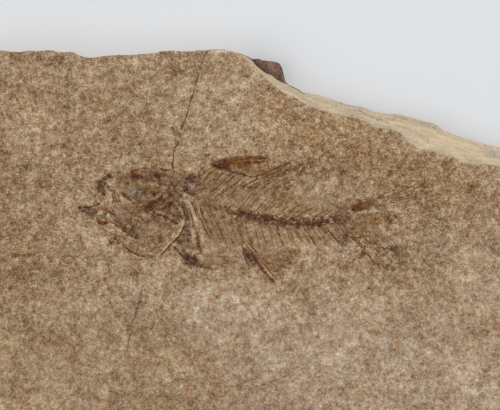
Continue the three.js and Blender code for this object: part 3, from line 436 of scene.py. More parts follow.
SECOND_DORSAL = Bones("second_dorsal_rays", "second_dorsal_fin", "fin_bone", lines=[
    ("brown", 1, 2.4, [(260.5, 175.6), (266.3, 172.8), (272.7, 169.8), (279.8, 167.2), (285.5, 164.6),
     (291, 162)]),
    ("dark", 0.8, 1.1, [(260.5, 175), (266, 172.4), (279.6, 166.6), (290, 162)]),
    ("brown", 0.9, 2.2, [(264, 176.6), (270, 174), (278, 171), (284, 168.6)]),
    ("ochre", 0.8, 1.4, [(267, 173.8), (274, 171), (282, 168)]),
    ("dark", 0.9, 1.5, [(263.4, 178.6), (269, 177.6), (275.5, 176.6), (283, 173.8), (290.5, 171.2)]),
    ("rust", 0.8, 2.2, [(294, 169.4), (299, 166.4), (303.6, 163.2)], [(283, 168.4), (287, 170), (291, 169)]),
    ("brown", 0.9, 1.9, [(265.6, 181), (272, 179.8), (279, 178.6)], [(267, 184.4), (273.7, 181.8),
     (280.6, 181)], [(276, 182), (283, 179.4), (289, 177)]),
    ("brown", 0.8, 2.6, [(292, 171.4), (298, 167.4), (304, 162.6)], [(293, 168.6), (297, 172.6),
     (299.6, 175.4)], [(304, 166.6), (300.6, 171.6), (298, 175.6)]),
    ("pale", 0.5, 1.6, [(282, 170.8), (288, 168.2)], [(272, 184), (277, 180.4)], [(281, 178.6), (285, 177)]),
    ("brown", 0.7, 1.2, [(246, 193), (254, 187.6), (262, 183)], [(253, 195), (260, 189.6), (267, 184.6)],
     [(260, 196.6), (267, 190.6), (274, 185.6)], [(270, 196), (276.6, 190), (283, 185)]),
], fans=[
    ("brown", 0.5, 7, (1.3, 0.8), 0.02, [(262, 177), (266, 180), (271, 184)], [(291, 162.6), (296, 166),
     (300, 171), (292, 180), (286, 184)]),
    ("brown", 0.6, 5, (1, 0.8), 0.03, [(276, 174), (280, 178), (282, 182)], [(300, 163.4), (305, 166),
     (303, 175), (294, 184)]),
], crumbs=[
    ("red", 0.8, 30, [(278, 180), (290, 177), (292, 188), (282, 191), (276, 186)]),
    ("plum", 0.8, 16, [(271, 181), (280, 182), (280, 189), (271, 188)]),
    ("plum", 0.5, 12, [(296, 182), (305, 182), (304, 188), (296, 188)]),
    ("brown", 0.9, 26, [(264, 177), (290, 167), (292, 178), (270, 187)], -25, 14, 4),
    ("pale", 0.6, 18, [(264, 177), (290, 168), (292, 184), (272, 188)], -25, 20, 3.4),
    ("brown", 0.8, 16, [(292, 167), (304, 162), (305, 175), (296, 177)]),
])
DARK_ROOT = [(183, 254.6), (190, 253.6), (199, 258.6), (197, 266.4), (190, 267), (184, 263.4)]
PELVIC_WEB = [(195, 256), (236, 255), (238, 262), (214, 270), (196, 267)]
PELVIC = Bones("pelvic_rays", "pelvic_fin", "fin_bone", lines=[
    ("dark", 0.8, 1.8, [(173.7, 246), (177.5, 250.4), (181, 254.7), (184, 257.6)]),
    ("brown", 0.9, 1.5, [(181.4, 248.8), (184.4, 251.4), (187, 254.4)]),
    ("dark", 1, 3, [(184.6, 256), (188.4, 259), (192.6, 263)], [(186.6, 254.8), (191, 257), (197, 259.6)],
     [(184.6, 262), (188.6, 264.4)]),
    ("plum", 0.9, 3.4, [(188, 261.6), (193, 265.4)]),
    ("brown", 0.9, 3.4, [(193.6, 262.6), (199, 264.2), (205, 266), (214, 269.4)]),
    ("ochre", 0.7, 1.2, [(197, 262.8), (204, 264.8), (212, 267.6)]),
    ("brown", 0.6, 1, [(195, 256.6), (205, 256), (218, 256.6), (234, 257.4)], [(194, 259.6), (202, 261),
     (211, 262.4)]),
], fans=[
    ("brown", 0.4, 8, (1.3, 0.8), 0.03, [(194, 257.6), (195.6, 260.6), (194.6, 263.6)], [(236, 256.6),
     (238, 262), (226, 267), (213.6, 270.4)]),
], crumbs=[
    ("dark", 1, 50, DARK_ROOT), ("plum", 0.9, 20, DARK_ROOT), ("brown", 0.6, 22, PELVIC_WEB, 6, 12, 5),
    ("pale", 0.5, 16, PELVIC_WEB, 6, 12, 4),
])
ANAL_ROOT = [(243, 249), (250, 250), (258, 257), (257, 265), (248, 266)]
ANAL_WEB = [(262, 256), (296, 250), (296, 262), (280, 277), (270, 272)]
ANAL = Bones("anal_rays", "anal_fin", "fin_bone", lines=[
    ("dark", 0.9, 1.2, [(243.3, 240.4), (246.6, 244.8), (250.4, 249.6), (255.2, 255)], [(246.4, 240.4),
     (249.6, 244.4), (253, 248.4), (257.4, 253.4)]),
    ("pale", 0.5, 1, [(245, 241), (249.4, 246.6), (254, 252)]),
    ("brown", 0.8, 1.4, [(241, 237), (242, 242), (243, 249)]),
    ("red", 0.8, 2.4, [(242.4, 244), (243.4, 250), (245.8, 257), (249.6, 267)]),
    ("dark", 1, 3, [(246, 252.6), (249, 257), (252.4, 262.4)], [(250, 252.6), (254, 256.6), (257, 260.6)]),
    ("red", 1, 3.4, [(253.6, 257.6), (258.8, 264), (264, 270.6)]),
    ("red", 1, 2.7, [(256, 262), (261, 267.6), (266, 273.6), (271, 279), (275.8, 284.2)]),
    ("brown", 0.9, 1.7, [(257.6, 255.6), (263.6, 263.6), (270, 271.4), (274.6, 277.6)]),
    ("pale", 0.5, 1, [(259, 261), (264.4, 267.6), (270, 274.2), (274.4, 279.6)]),
], fans=[
    ("brown", 0.5, 9, (1.3, 0.8), -0.03, [(257.6, 256), (264, 254), (272, 251.6), (280, 250)], [(276, 279),
     (284, 273.6), (291, 267), (296, 258)]),
    ("rust", 0.4, 4, (1.6, 1), -0.03, [(266, 258), (272, 256), (277, 254.6)], [(279, 273), (284, 271),
     (289, 264)]),
], crumbs=[
    ("dark", 0.8, 26, ANAL_ROOT), ("brown", 0.9, 16, ANAL_ROOT), ("plum", 0.9, 12, ANAL_ROOT),
    ("ochre", 0.8, 24, ANAL_WEB), ("brown", 0.6, 20, ANAL_WEB, 45, 20, 4),
])
WEDGE = [
    (350.6, 207.4), (355, 204.4), (364, 200.8), (370.8, 199.6), (371.8, 204), (370, 209), (362, 210),
    (354, 211.4), (351, 210),
]
FORK = [(386, 191), (416, 182), (421, 188), (408, 204), (388, 207)]
GOLDEN = [(364, 213), (384, 213), (386, 221), (378, 225), (368, 224)]
LOWER_LOBE = [(352, 240), (372, 236), (394, 248), (404, 262), (386, 271), (366, 258)]
TAIL = Bones("tail_rays", "tail_fin", "fin_bone", lines=[
    ("red", 1, 3.6, [(350.6, 208.6), (354.4, 207.4), (360, 205.8)]),
    ("red", 0.7, 1.6, [(350.6, 207), (357, 204), (363, 201.6)], [(352.6, 210.8), (358, 209.2), (364, 207.6)]),
    ("ochre", 0.9, 1.5, [(360, 203.4), (366, 201.6), (371.6, 200.6)], [(362, 206.4), (371, 204.2)]),
    ("brown", 0.9, 1.1, [(358, 207.8), (364, 205.8), (371, 203.4)], [(360, 205), (366, 203), (371.6, 202)],
     [(356.7, 202), (362, 199.8), (370, 198.6)]),
    ("plum", 0.8, 2, [(371, 196.6), (374, 199.6)], [(372.6, 201), (374, 205)], [(375.4, 203.6),
     (377.6, 207.6)]),
    # Grey on the tail is partly real grey and partly painted shade
    ("grey", 0.9, 3, [(371.6, 197.6), (374.6, 200.6)], [(374, 203), (376.4, 206)]),
    ("pale", 0.6, 1.7, [(357, 213.4), (362, 212.4), (367, 212.8)], [(368.6, 212.8), (373, 211.6),
     (379, 210.8)]),
    ("chalk", 1, 2, [(363, 214.4), (365.4, 214.2)]),
    ("brown", 0.7, 1.2, [(346, 212), (350, 207.6), (354, 204)], [(338, 214), (342, 209), (347, 205)]),
    ("rust", 1, 4.6, [(377.6, 195.8), (380.4, 197), (383.4, 197.4)]),
    ("brown", 0.9, 1.7, [(388, 196.4), (396, 193), (408, 188), (419, 183.4)]),
    ("dark", 0.9, 1.7, [(386.4, 192.8), (387, 196.2)], [(388.6, 200.6), (389.6, 202.4)]),
    ("brown", 0.8, 1.1, [(389, 199), (397.6, 195.8), (404, 193.2), (411, 190.4)], [(390, 203.4),
     (403.6, 199.6), (416, 196)], [(392, 190), (402, 187), (412, 184.4)]),
    ("pale", 0.5, 1.2, [(391.6, 197.6), (399, 194.4), (408, 190.8)], [(396, 202.6), (406, 199.8)]),
    ("plum", 0.9, 5.2, [(341, 243), (344, 239.6), (347.6, 237)]),
    ("brown", 1, 1.7, [(348.6, 236.6), (354, 237.4), (360, 237), (364.6, 235.4)], [(350, 229), (356, 228.6)]),
    ("ochre", 0.8, 1.7, [(350, 226.4), (356, 225.8), (362, 226.8)], [(350, 231.6), (357, 231), (362, 229)]),
    ("dark", 0.8, 2, [(357.6, 240.8), (362, 244), (366.4, 247)], [(352, 238.6), (357, 240)]),
    ("rust", 1, 1.3, [(360.8, 249.6), (366, 253.2), (371, 258.2), (376.6, 264.4)]),
    ("ochre", 0.9, 1.3, [(364, 249), (369, 252.8), (375, 258)]),
    ("pale", 0.6, 1.5, [(366.6, 247.6), (371.4, 251.6), (376.6, 256.6)], [(371, 256.6), (374.6, 261.6)]),
], plates=[
    ("brown", 0.8, 0.1, WEDGE),
], fans=[
    ("brown", 0.45, 9, (1.4, 1), -0.03, [(376, 197), (380, 203), (377, 209)], [(420, 184), (417, 190),
     (412, 197), (406, 204)]),
    ("brown", 0.4, 12, (1.3, 1), 0.05, [(349, 216), (356, 215), (366, 214)], [(378, 266), (390, 268),
     (402, 264), (407, 250)]),
], crumbs=[
    ("brown", 0.8, 20, WEDGE, -17, 5, 5), ("brown", 0.9, 34, FORK, -20, 7, 7),
    ("pale", 0.7, 24, FORK, -20, 7, 7), ("ochre", 0.8, 18, FORK, -20, 8, 6), ("ochre", 0.9, 30, GOLDEN),
    ("brown", 0.9, 20, GOLDEN, -10, 30), ("plum", 0.7, 14, [(384, 213), (399, 213), (399, 223), (385, 224)]),
    ("ochre", 0.8, 24, [(346, 222), (364, 222), (366, 236), (350, 238)]),
    ("brown", 0.9, 50, [(344, 214), (366, 213), (368, 236), (350, 238)]),
    ("brown", 0.9, 46, LOWER_LOBE, 40, 12, 5), ("pale", 0.6, 26, LOWER_LOBE, 40, 12, 5),
    ("dark", 0.7, 16, LOWER_LOBE, 40, 25),
    ("plum", 0.6, 16, [(382, 246), (404, 246), (408, 264), (392, 270)]),
    ("plum", 0.8, 22, [(354, 239), (366, 238), (371, 248), (358, 250)]),
])
HEAD = (SNOUT, UPPER_JAW, LOWER_JAW, THROAT, SKULL, CHEEK, GILL_COVER, SHOULDER_GIRDLE)
FINS = (FIRST_DORSAL, SECOND_DORSAL, PELVIC, ANAL, TAIL)

# Broad patches on the stone itself, paler towards the bottom and the lower right and browner at the left and
# along the upper edge, each with its strength, the pixels over which its border fades, and its outline
STONE_FILMS = (
    ("chalk", 0.4, 26, [(178, 288), (206, 282), (244, 286), (288, 296), (300, 330), (262, 352), (214, 350),
     (180, 326)]),
    ("chalk", 0.36, 50, [(230, 318), (330, 300), (420, 300), (520, 330), (520, 430), (420, 440), (300, 440),
     (240, 400)]),
    ("chalk", 0.2, 30, [(440, 240), (520, 230), (520, 330), (450, 330)]),
    ("chalk", 0.15, 26, [(80, 262), (150, 262), (176, 290), (150, 320), (90, 310)]),
    ("chalk", 0.12, 26, [(150, 60), (250, 60), (262, 120), (214, 150), (150, 130)]),
    ("brown", 0.3, 26, [(-30, 200), (40, 214), (62, 244), (44, 272), (-30, 290)]),
    ("brown", 0.16, 40, [(-40, 40), (60, 60), (90, 150), (84, 210), (40, 250), (-40, 250)]),
    ("brown", 0.14, 30, [(100, 120), (170, 120), (180, 160), (130, 176), (96, 170)]),
    ("brown", 0.26, 20, [(256, 92), (330, 116), (400, 158), (480, 196), (510, 220), (440, 224), (380, 196),
     (300, 168)]),
    ("calm", 0.4, 60, [(-60, 316), (120, 296), (520, 280), (520, 440), (-60, 440)]),
    ("ochre", 0.22, 26, [(250, 100), (320, 108), (400, 150), (470, 186), (440, 200), (330, 160), (262, 140)]),
    ("chalk", 0.9, 3, [(213, 48), (226, 48), (228, 53), (217, 54)]),
)
GILL_AREA = [(154, 213), (182, 226), (176, 240), (160, 254), (148, 246), (144, 232)]
TAIL_MIDDLE = [(383, 212), (398, 213), (400, 222), (384, 224)]
BODY_FILMS = (
    ("calm", 0.7, 8, [(190, 190), (215, 164), (262, 172), (300, 190), (346, 202), (366, 200), (366, 214),
     (346, 240), (300, 250), (270, 268), (204, 266)]),
    ("calm", 0.1, 8, [(108, 182), (146, 170), (186, 172), (200, 220), (198, 262), (166, 256), (132, 250),
     (108, 232)]),
    ("brown", 0.2, 9, [(108, 182), (146, 167), (186, 176), (215, 164), (262, 172), (300, 190), (346, 202),
     (374, 196), (376, 214), (350, 240), (300, 246), (262, 252), (204, 250), (166, 256), (132, 250),
     (108, 232), (90, 214), (100, 196)]),
    ("brown", 0.5, 6, [(240, 208), (262, 212), (300, 218), (340, 212), (344, 216), (336, 225), (300, 232),
     (262, 228), (238, 222), (222, 214)]),
    ("brown", 0.6, 6, [(118, 178), (129, 172), (150, 169), (176, 176), (184, 186), (182, 202), (170, 214),
     (154, 212), (140, 206), (126, 198)]),
    ("brown", 0.6, 5, [(124, 203), (140, 206), (156, 212), (152, 224), (142, 236), (130, 230), (118, 216)]),
    ("brown", 0.55, 6, GILL_AREA), ("plum", 0.24, 6, GILL_AREA),
    ("dark", 0.56, 7, [(150, 189), (158, 187), (178, 190), (182, 202), (181, 219), (168, 217), (154, 212),
     (144, 202)]),
    ("red", 0.45, 4, [(118, 178), (132, 172), (150, 171), (166, 173), (167, 180), (150, 181), (134, 183),
     (120, 184)]),
    ("chalk", 0.2, 4, [(123, 188), (135, 185), (144, 188), (141, 199), (132, 198)]),
    ("ochre", 0.6, 4, [(143, 188), (150, 187), (149, 198), (144, 197)]),
    ("ochre", 0.25, 6, [(262, 182), (290, 186), (304, 200), (292, 208), (266, 200)]),
    ("ochre", 0.25, 6, [(290, 232), (304, 236), (302, 250), (286, 250)]),
    # Grey in the orbit is partly real grey and partly painted shade
    ("grey", 0.9, 4, [(124, 187), (135, 184), (142, 187), (141, 196), (135, 200), (129, 197)]),
    ("plum", 1, 4, [(183, 219), (188, 226), (192, 238), (188, 248), (178, 246), (176, 241), (181, 232)]),
    ("plum", 0.45, 5, [(156, 180), (166, 178), (180, 180), (186, 188), (180, 198), (168, 192)]),
    ("brown", 0.8, 2, [(191.8, 262.6), (203, 262.2), (211, 265), (217, 270.6), (203, 269), (194.4, 266.8)]),
    ("plum", 0.5, 3, [(182, 255), (192, 255), (199, 262), (190, 267), (184, 261)]),
    ("dark", 0.85, 3, [(184, 256), (190, 254), (197, 260), (195, 265), (189, 264), (185, 261)]),
    ("dark", 0.5, 4, [(245, 253), (250, 253), (256, 258), (254, 264), (249, 262)]),
    ("plum", 0.5, 3, [(84, 209), (90, 207), (96, 211), (92, 217), (87, 215)]),
    ("ochre", 0.5, 3, [(160, 202), (168, 200), (172, 206), (164, 210)]),
    ("rust", 0.45, 4, [(128, 205), (148, 206), (158, 213), (156, 224), (146, 222), (132, 212)]),
    ("rust", 0.9, 1.5, BLADE), ("ochre", 0.3, 3, UNDER_BLADE), ("brown", 0.25, 3, UNDER_BLADE),
    ("brown", 0.18, 5, [(264, 180), (290, 166), (304, 166), (300, 180), (282, 190), (270, 190)]),
    ("rust", 0.2, 3, [(280, 170), (292, 164), (304, 162), (303, 174), (290, 176)]),
    ("brown", 0.5, 5, [(258, 256), (270, 252), (296, 250), (294, 266), (280, 278), (266, 268)]),
    ("brown", 0.15, 6, [(196, 254), (238, 254), (236, 266), (212, 272), (196, 268)]),
    ("ochre", 0.4, 5, [(346, 227), (362, 225), (364, 234), (352, 238)]),
    ("ochre", 0.5, 5, [(364, 214), (383, 213), (384, 220), (370, 222)]), ("brown", 0.55, 4, TAIL_MIDDLE),
    ("plum", 0.4, 4, TAIL_MIDDLE),
    ("plum", 0.9, 4, [(338, 237), (341, 232), (348, 231), (351, 237), (349, 242), (343, 246), (338, 243)]),
    ("plum", 0.55, 7, [(382, 246), (396, 242), (408, 248), (410, 262), (402, 268), (390, 258)]),
    ("brown", 0.3, 8, [(346, 214), (372, 208), (390, 222), (394, 250), (380, 262), (364, 252), (348, 240)]),
    ("brown", 0.15, 7, [(372, 198), (404, 186), (418, 182), (416, 196), (400, 206), (378, 212)]),
    ("brown", 0.9, 1.5, WEDGE),
    ("red", 0.8, 1.5, [(350.6, 207.4), (356, 204.4), (362, 203), (362, 209.6), (354, 211), (351, 210)]),
    ("rust", 0.6, 1.5, [(376.6, 194.2), (380, 193.8), (384.4, 196), (383, 199.2), (379, 199)]),
    ("ochre", 0.3, 3, [(388, 196), (400, 190), (420, 181), (421, 188), (404, 198), (390, 202)]),
    # Grey on the tail is partly real grey and partly painted shade
    ("grey", 0.5, 4, [(360, 213.6), (366, 212), (378, 211), (377, 215), (368, 217), (361, 217)]),
    ("plum", 0.9, 2.5, [(99, 181), (104, 178), (107, 180), (104, 186), (101, 190), (98, 187)]),
    ("plum", 0.6, 3, [(118, 222), (130, 228), (140, 236), (138, 239), (130, 236)]),
    ("brown", 0.25, 3, [(183, 176), (199, 175), (200, 187), (186, 189)]),
    ("brown", 0.7, 1.5, [(154, 211), (166, 215.4), (178, 222), (178, 225.4), (166, 219.6), (156, 215.6)]),
    ("plum", 0.5, 3, [(372, 199), (379, 199), (380, 212), (372, 213)]),
    ("brown", 0.5, 2.5, [(56, 184), (59, 183), (68, 194), (65, 196)]),
    ("plum", 0.6, 2, [(70, 179), (78, 180), (79, 182), (71, 181)]),
)


def srgb(red, green, blue):
    """Turns a colour as a screen shows it, 0 to 255, into the linear colour that a shader takes."""
    parts = [part / 255 for part in (red, green, blue)]
    return tuple(part / 12.92 if part <= 0.04045 else ((part + 0.055) / 1.055) ** 2.4 for part in parts)


# How an average spot of the face looks, and how it looks under each colour laid on it: pale and pink partly
# painted highlight, grey partly painted shade
FACE_COLOR = srgb(154, 129, 101)
STAINS_AND_PAINTED_LIGHT = {
    "brown": srgb(105, 68, 32),
    "dark": srgb(80, 45, 18),
    "rust": srgb(118, 73, 34),
    "red": srgb(104, 58, 27),
    "plum": srgb(98, 69, 50),
    "ochre": srgb(150, 112, 62),
    # Grey is partly real grey and partly painted shade
    "grey": srgb(128, 117, 100),
    # Pink and pale are partly pale bone and partly painted highlight beside darker bones
    "pink": srgb(176, 138, 104),
    "pale": srgb(188, 161, 131),
    "chalk": srgb(186, 167, 147),
}
CHANNELS = (*STAINS_AND_PAINTED_LIGHT, "calm")


def from_photo(pixels):
    """Places on the slab's face, in millimetres, that show at these pixels of the photograph."""
    return (np.asarray(pixels, float) - ORIGIN_PIXEL) * (MM_PER_PIXEL, -MM_PER_PIXEL)


def soften(share):
    """Eases a share that runs from 0 to 1."""
    share = np.clip(share, 0, 1)
    return share * share * (3 - 2 * share)


def looped(outline):
    """The outline with its first spot once more at its end."""
    return np.vstack([outline, outline[:1]])


LUMP_TABLE, LUMP_SHIFT_X, LUMP_SHIFT_Y = 256, 1000.37, 1000.73


def lumps(x, y, size, seed):
    """Smooth hills and dips between -1 and 1, about size apart."""
    table = np.random.default_rng(seed).uniform(-1, 1, (LUMP_TABLE, LUMP_TABLE))
    u = np.asarray(x) / size + LUMP_SHIFT_X
    v = np.asarray(y) / size + LUMP_SHIFT_Y
    i, j = np.floor(u).astype(int), np.floor(v).astype(int)
    fu, fv = soften(u - i), soften(v - j)

    def row(k):
        k = k % LUMP_TABLE
        return table[i % LUMP_TABLE, k] * (1 - fu) + table[(i + 1) % LUMP_TABLE, k] * fu

    return row(j) * (1 - fv) + row(j + 1) * fv


NEVER_ZERO = 1e-9


def across(x, y, path, widths):
    """How far each place is from a path, as a share of its half width there, and how far along it lies."""
    path = np.asarray(path, float)
    half = np.broadcast_to(np.asarray(widths, float) / 2, len(path))
    best = np.full(np.shape(x), np.inf)
    along = np.zeros(np.shape(x))
    for n in range(len(path) - 1):
        start, step = path[n], path[n + 1] - path[n]
        share = ((x - start[0]) * step[0] + (y - start[1]) * step[1]) / max(step @ step, NEVER_ZERO)
        share = np.clip(share, 0, 1)
        gap = np.hypot(x - start[0] - share * step[0], y - start[1] - share * step[1])
        gap = gap / (half[n] + share * (half[n + 1] - half[n]))
        nearer = gap < best
        best = np.where(nearer, gap, best)
        along = np.where(nearer, (n + share) / (len(path) - 1), along)
    return best, along


def distance(x, y, path):
    """How far each place is from a path, in millimetres."""
    return across(x, y, path, 2)[0]


def inside(x, y, outline):
    """Whether each place is inside a closed outline."""
    outline = np.asarray(outline, float)
    within = np.zeros(np.shape(x), bool)
    for (ax, ay), (bx, by) in zip(outline, np.roll(outline, -1, 0)):
        crosses = (ay > y) != (by > y)
        with np.errstate(divide="ignore", invalid="ignore"):
            within ^= crosses & (x < (bx - ax) * (y - ay) / (by - ay) + ax)
    return within


def layered(x, y, layers):
    """Lumps on top of one another, each layer given as its size, its height and its seed."""
    return sum(height * lumps(x, y, size, seed) for size, height, seed in layers)


# How a stroke fades at its sides and ends, and how uneven a patch is
STROKE_REACH, STROKE_FADE, END_FADE, END_LEAST = 1.5, 1.25, 8, 0.4
PATCH_MOTTLES = ((1.1, 0.45, 51), (0.5, 0.4, 52))


class Brush:
    """Lays soft strokes on a set of places, and keeps how strong the stains and painted highlights and shade
    are there.
    """

    def __init__(self, x, y):
        self.x, self.y = x, y
        self.amounts = {stain: np.zeros(len(x)) for stain in CHANNELS}

    def near(self, spots, margin):
        """The numbers of the places in the box round the spots, and where they are."""
        (left, low), (right, high) = spots.min(0) - margin, spots.max(0) + margin
        places = np.nonzero((self.x > left) & (self.x < right) & (self.y > low) & (self.y < high))[0]
        return places, self.x[places], self.y[places]

    def lay(self, stain, places, amount):
        kept = self.amounts[stain]
        kept[places] = np.maximum(kept[places], amount)

    def stroke(self, stain, pixels, width, strength):
        """A line through the pixels, width pixels wide, that fades out at its sides."""
        spots = from_photo(pixels)
        widths = np.broadcast_to(np.asarray(width, float), len(spots)) * MM_PER_PIXEL
        places, x, y = self.near(spots, widths.max())
        gap, along = across(x, y, spots, widths * STROKE_REACH)
        ends = soften(np.minimum(along, 1 - along) * END_FADE + END_LEAST)
        self.lay(stain, places, strength * soften(STROKE_FADE - gap) * ends)

    def patch(self, stain, pixels, fade, strength):
        """An area with the pixels round it, whose border fades over fade pixels."""
        outline = from_photo(pixels)
        fringe = fade * MM_PER_PIXEL
        places, x, y = self.near(outline, fringe)
        gap, _ = across(x, y, looped(outline), 2 * fringe)
        depth = np.where(inside(x, y, outline), gap, -gap)
        mottled = 1 + layered(x, y, PATCH_MOTTLES)
        self.lay(stain, places, strength * mottled * soften(0.5 + 0.5 * depth))


# The swells, ripples, pits and grain of the face: size and height in millimetres, and seed
FACE_RELIEF = ((34, 0.1, 11), (11, 0.05, 12), (2.4, 0.03, 13), (0.8, 0.022, 14))
FACE_SINK = 0.14


def stone_height(x, y):
    """The height of the stone's face, in millimetres."""
    return FACE - FACE_SINK + layered(x, y, FACE_RELIEF)


def add_amounts(mesh, amounts):
    """Gives a mesh a float attribute for each named amount."""
    for label, values in amounts.items():
        mesh.attributes.new(label, "FLOAT", "POINT").data.foreach_set("value", np.asarray(values, np.float32))


def placed(mesh, material):
    """Puts a finished mesh in the scene."""
    mesh.shade_smooth()
    mesh.materials.append(material)
    piece = bpy.data.objects.new(mesh.name, mesh)
    bpy.context.scene.collection.objects.link(piece)
    return piece


def piece_from(name, corners, faces, material, amounts):
    """A mesh object from corners in millimetres, with the stone's amounts at each corner."""
    mesh = bpy.data.meshes.new(name)
    mesh.from_pydata((np.asarray(corners) * MM).tolist(), [], [list(face) for face in faces])
    mesh.validate()
    mesh.update()
    add_amounts(mesh, amounts)
    return placed(mesh, material)


class Nodes:
    """Adds and links the nodes of one tree."""

    def __init__(self, tree):
        self.tree = tree

    def feed(self, socket, value):
        """Links another node's output to a socket, or sets the socket's own value."""
        if isinstance(value, bpy.types.NodeSocket):
            self.tree.links.new(value, socket)
        else:
            socket.default_value = (*value, 1) if socket.type == "RGBA" else value

    def node(self, kind, sockets=(), **settings):
        """Adds a node. Its sockets are given by name or identifier, as values or as other nodes' outputs."""
        node = self.tree.nodes.new(kind)
        for label, value in settings.items():
            setattr(node, label, value)
        for label, value in dict(sockets).items():
            fitting = [socket for socket in node.inputs if label in (socket.identifier, socket.name)]
            usable = [socket for socket in fitting if socket.enabled] or fitting
            self.feed(usable[0], value)
        return node

    def out(self, kind, sockets=(), **settings):
        """The first output of a new node."""
        return self.node(kind, sockets, **settings).outputs[0]

    def math(self, operation, *values, clamp=False):
        node = self.node("ShaderNodeMath", operation=operation, use_clamp=clamp)
        for socket, value in zip(node.inputs, values):
            self.feed(socket, value)
        return node.outputs[0]

    def plus(self, first, second, clamp=False):
        return self.math("ADD", first, second, clamp=clamp)

    def minus(self, first, second):
        return self.math("SUBTRACT", first, second)

    def times(self, first, second, clamp=False):
        return self.math("MULTIPLY", first, second, clamp=clamp)


MIXED_COLOR = 2
SHIFT_WAY = (1, 0.7, 1.3)


class Recipe(Nodes):
    """Lays out the nodes of one material."""

    def __init__(self, name):
        self.material = bpy.data.materials.new(name)
        self.material.use_nodes = True
        super().__init__(self.material.node_tree)
        self.shader = self.tree.nodes["Principled BSDF"]
        self.place = self.tree.nodes.new("ShaderNodeTexCoord").outputs["Object"]

    def noise(self, size, rough, shift=0, detail=2, stretch=(1, 1, 1), turned=0):
        """Cloudy noise whose lumps are about size millimetres wide, or stretched along turned axes."""
        location = tuple(shift * part for part in SHIFT_WAY)
        sockets = {
            "Vector": self.place, "Location": location, "Rotation": (0, 0, turned), "Scale": stretch,
        }
        place = self.out("ShaderNodeMapping", sockets, vector_type="TEXTURE" if turned else "POINT")
        sockets = {"Vector": place, "Scale": 1 / (size * MM), "Detail": detail, "Roughness": rough}
        return self.node("ShaderNodeTexNoise", sockets).outputs["Fac"]

    def attribute(self, name):
        return self.node("ShaderNodeAttribute", attribute_name=name).outputs["Fac"]

    def blend(self, share, first, second, how="MIX"):
        sockets = {"Factor_Float": share, "A_Color": first, "B_Color": second}
        return self.node("ShaderNodeMix", sockets, data_type="RGBA", blend_type=how).outputs[MIXED_COLOR]

    def ramp(self, share, stops):
        node = self.node("ShaderNodeValToRGB", {"Fac": share})
        elements = node.color_ramp.elements
        while len(elements) < len(stops):
            elements.new(1)
        for element, (at, color) in zip(elements, stops):
            element.position = at
            element.color = (*color, 1)
        return node.outputs[0]

    def between(self, share, low, high, to_low=0, to_high=1):
        """Stretches the part of a share from low to high out to a new range."""
        sockets = {"Value": share, "From Min": low, "From Max": high, "To Min": to_low, "To Max": to_high}
        return self.out("ShaderNodeMapRange", sockets)

    def sum(self, *parts):
        """Adds up weighted shares, each given as (share, weight), about their middles."""
        total = 0
        for share, weight in parts:
            total = self.plus(total, self.times(self.minus(share, 0.5), weight))
        return total

    def tone(self, *parts):
        """A weighted sum of shares about the middle, held between 0 and 1."""
        return self.plus(self.sum(*parts), 0.5, clamp=True)

    def bump(self, height, depth):
        """Raises the surface by depth millimetres where the height is 1."""
        normal = self.out("ShaderNodeBump", {"Strength": 1, "Distance": depth * MM, "Height": height})
        self.feed(self.shader.inputs["Normal"], normal)

    def finish(self, color, roughness, specular):
        looks = {"Base Color": color, "Roughness": roughness, "Specular IOR Level": specular}
        for label, value in looks.items():
            self.feed(self.shader.inputs[label], value)
        return self.material


class StoneSettings(bpy.types.PropertyGroup):
    grain_size: FloatProperty(
        name="Grain", description="Width of the stone's grains in millimetres", default=0.4
    )
    mottle_size: FloatProperty(
        name="Mottle", description="Width of the mottled spots in millimetres", default=2.6
    )
    patch_size: FloatProperty(
        name="Patch", description="Width of the pale and dark patches in millimetres", default=13
    )
    crack_depth: FloatProperty(
        name="Crack depth", description="Depth of the hairline cracks in millimetres", default=0.2
    )
    dark_grain: FloatVectorProperty(
        name="Dark grain", description="Colour of the darkest grains", subtype="COLOR",
        default=srgb(97, 73, 47)
    )
    brown_grain: FloatVectorProperty(
        name="Brown grain", description="Colour between the dark and the pale grains", subtype="COLOR",
        default=srgb(141, 117, 90)
    )
    tan_grain: FloatVectorProperty(
        name="Tan grain", description="Colour of most of the face", subtype="COLOR",
        default=srgb(167, 145, 117)
    )
    pale_grain: FloatVectorProperty(
        name="Pale grain", description="Colour of the palest grains", subtype="COLOR",
        default=srgb(202, 182, 152)
    )
    fracture: FloatVectorProperty(
        name="Fracture", description="Colour of the freshly broken slope", subtype="COLOR",
        default=srgb(177, 160, 134)
    )
    crust: FloatVectorProperty(
        name="Crust", description="Colour of the weathered crust", subtype="COLOR",
        default=srgb(112, 87, 71)
    )


class BoneSettings(bpy.types.PropertyGroup):
    vertebra_width: FloatProperty(
        name="Vertebra", description="Width of a vertebra in millimetres", default=1.1
    )
    vertebrae: IntProperty(
        name="Vertebrae", description="How many vertebrae the column has", default=24
    )


class StageSettings(bpy.types.PropertyGroup):
    camera_height: FloatProperty(
        name="Camera", description="Height of the camera over the face", default=0.9, unit="LENGTH"
    )
    floor: FloatVectorProperty(
        name="Floor", description="Colour of the floor", subtype="COLOR",
        default=srgb(209, 211, 214)
    )
    key_power: FloatProperty(name="Main light", description="Strength of the main light", default=9.0)
    fill_power: FloatProperty(
        name="Fill light", description="Strength of the light from the other side", default=3.0
    )
    sky_power: FloatProperty(name="Sky", description="Strength of the light from all round", default=0.45)


# The noises of the speckle, each with its roughness and its shift
GRAIN_NOISE, FLECK_NOISE, MOTTLE_NOISE, PATCH_NOISE = (0.65, 0), (0.55, 0.11), (0.6, 0.23), (0.5, 0.37)
FLECK_PER_GRAIN = 2.4
# Where the colours of the grains lie along the tone of the speckle
GRAIN_STOPS = (0.12, 0.4, 0.62, 0.9)
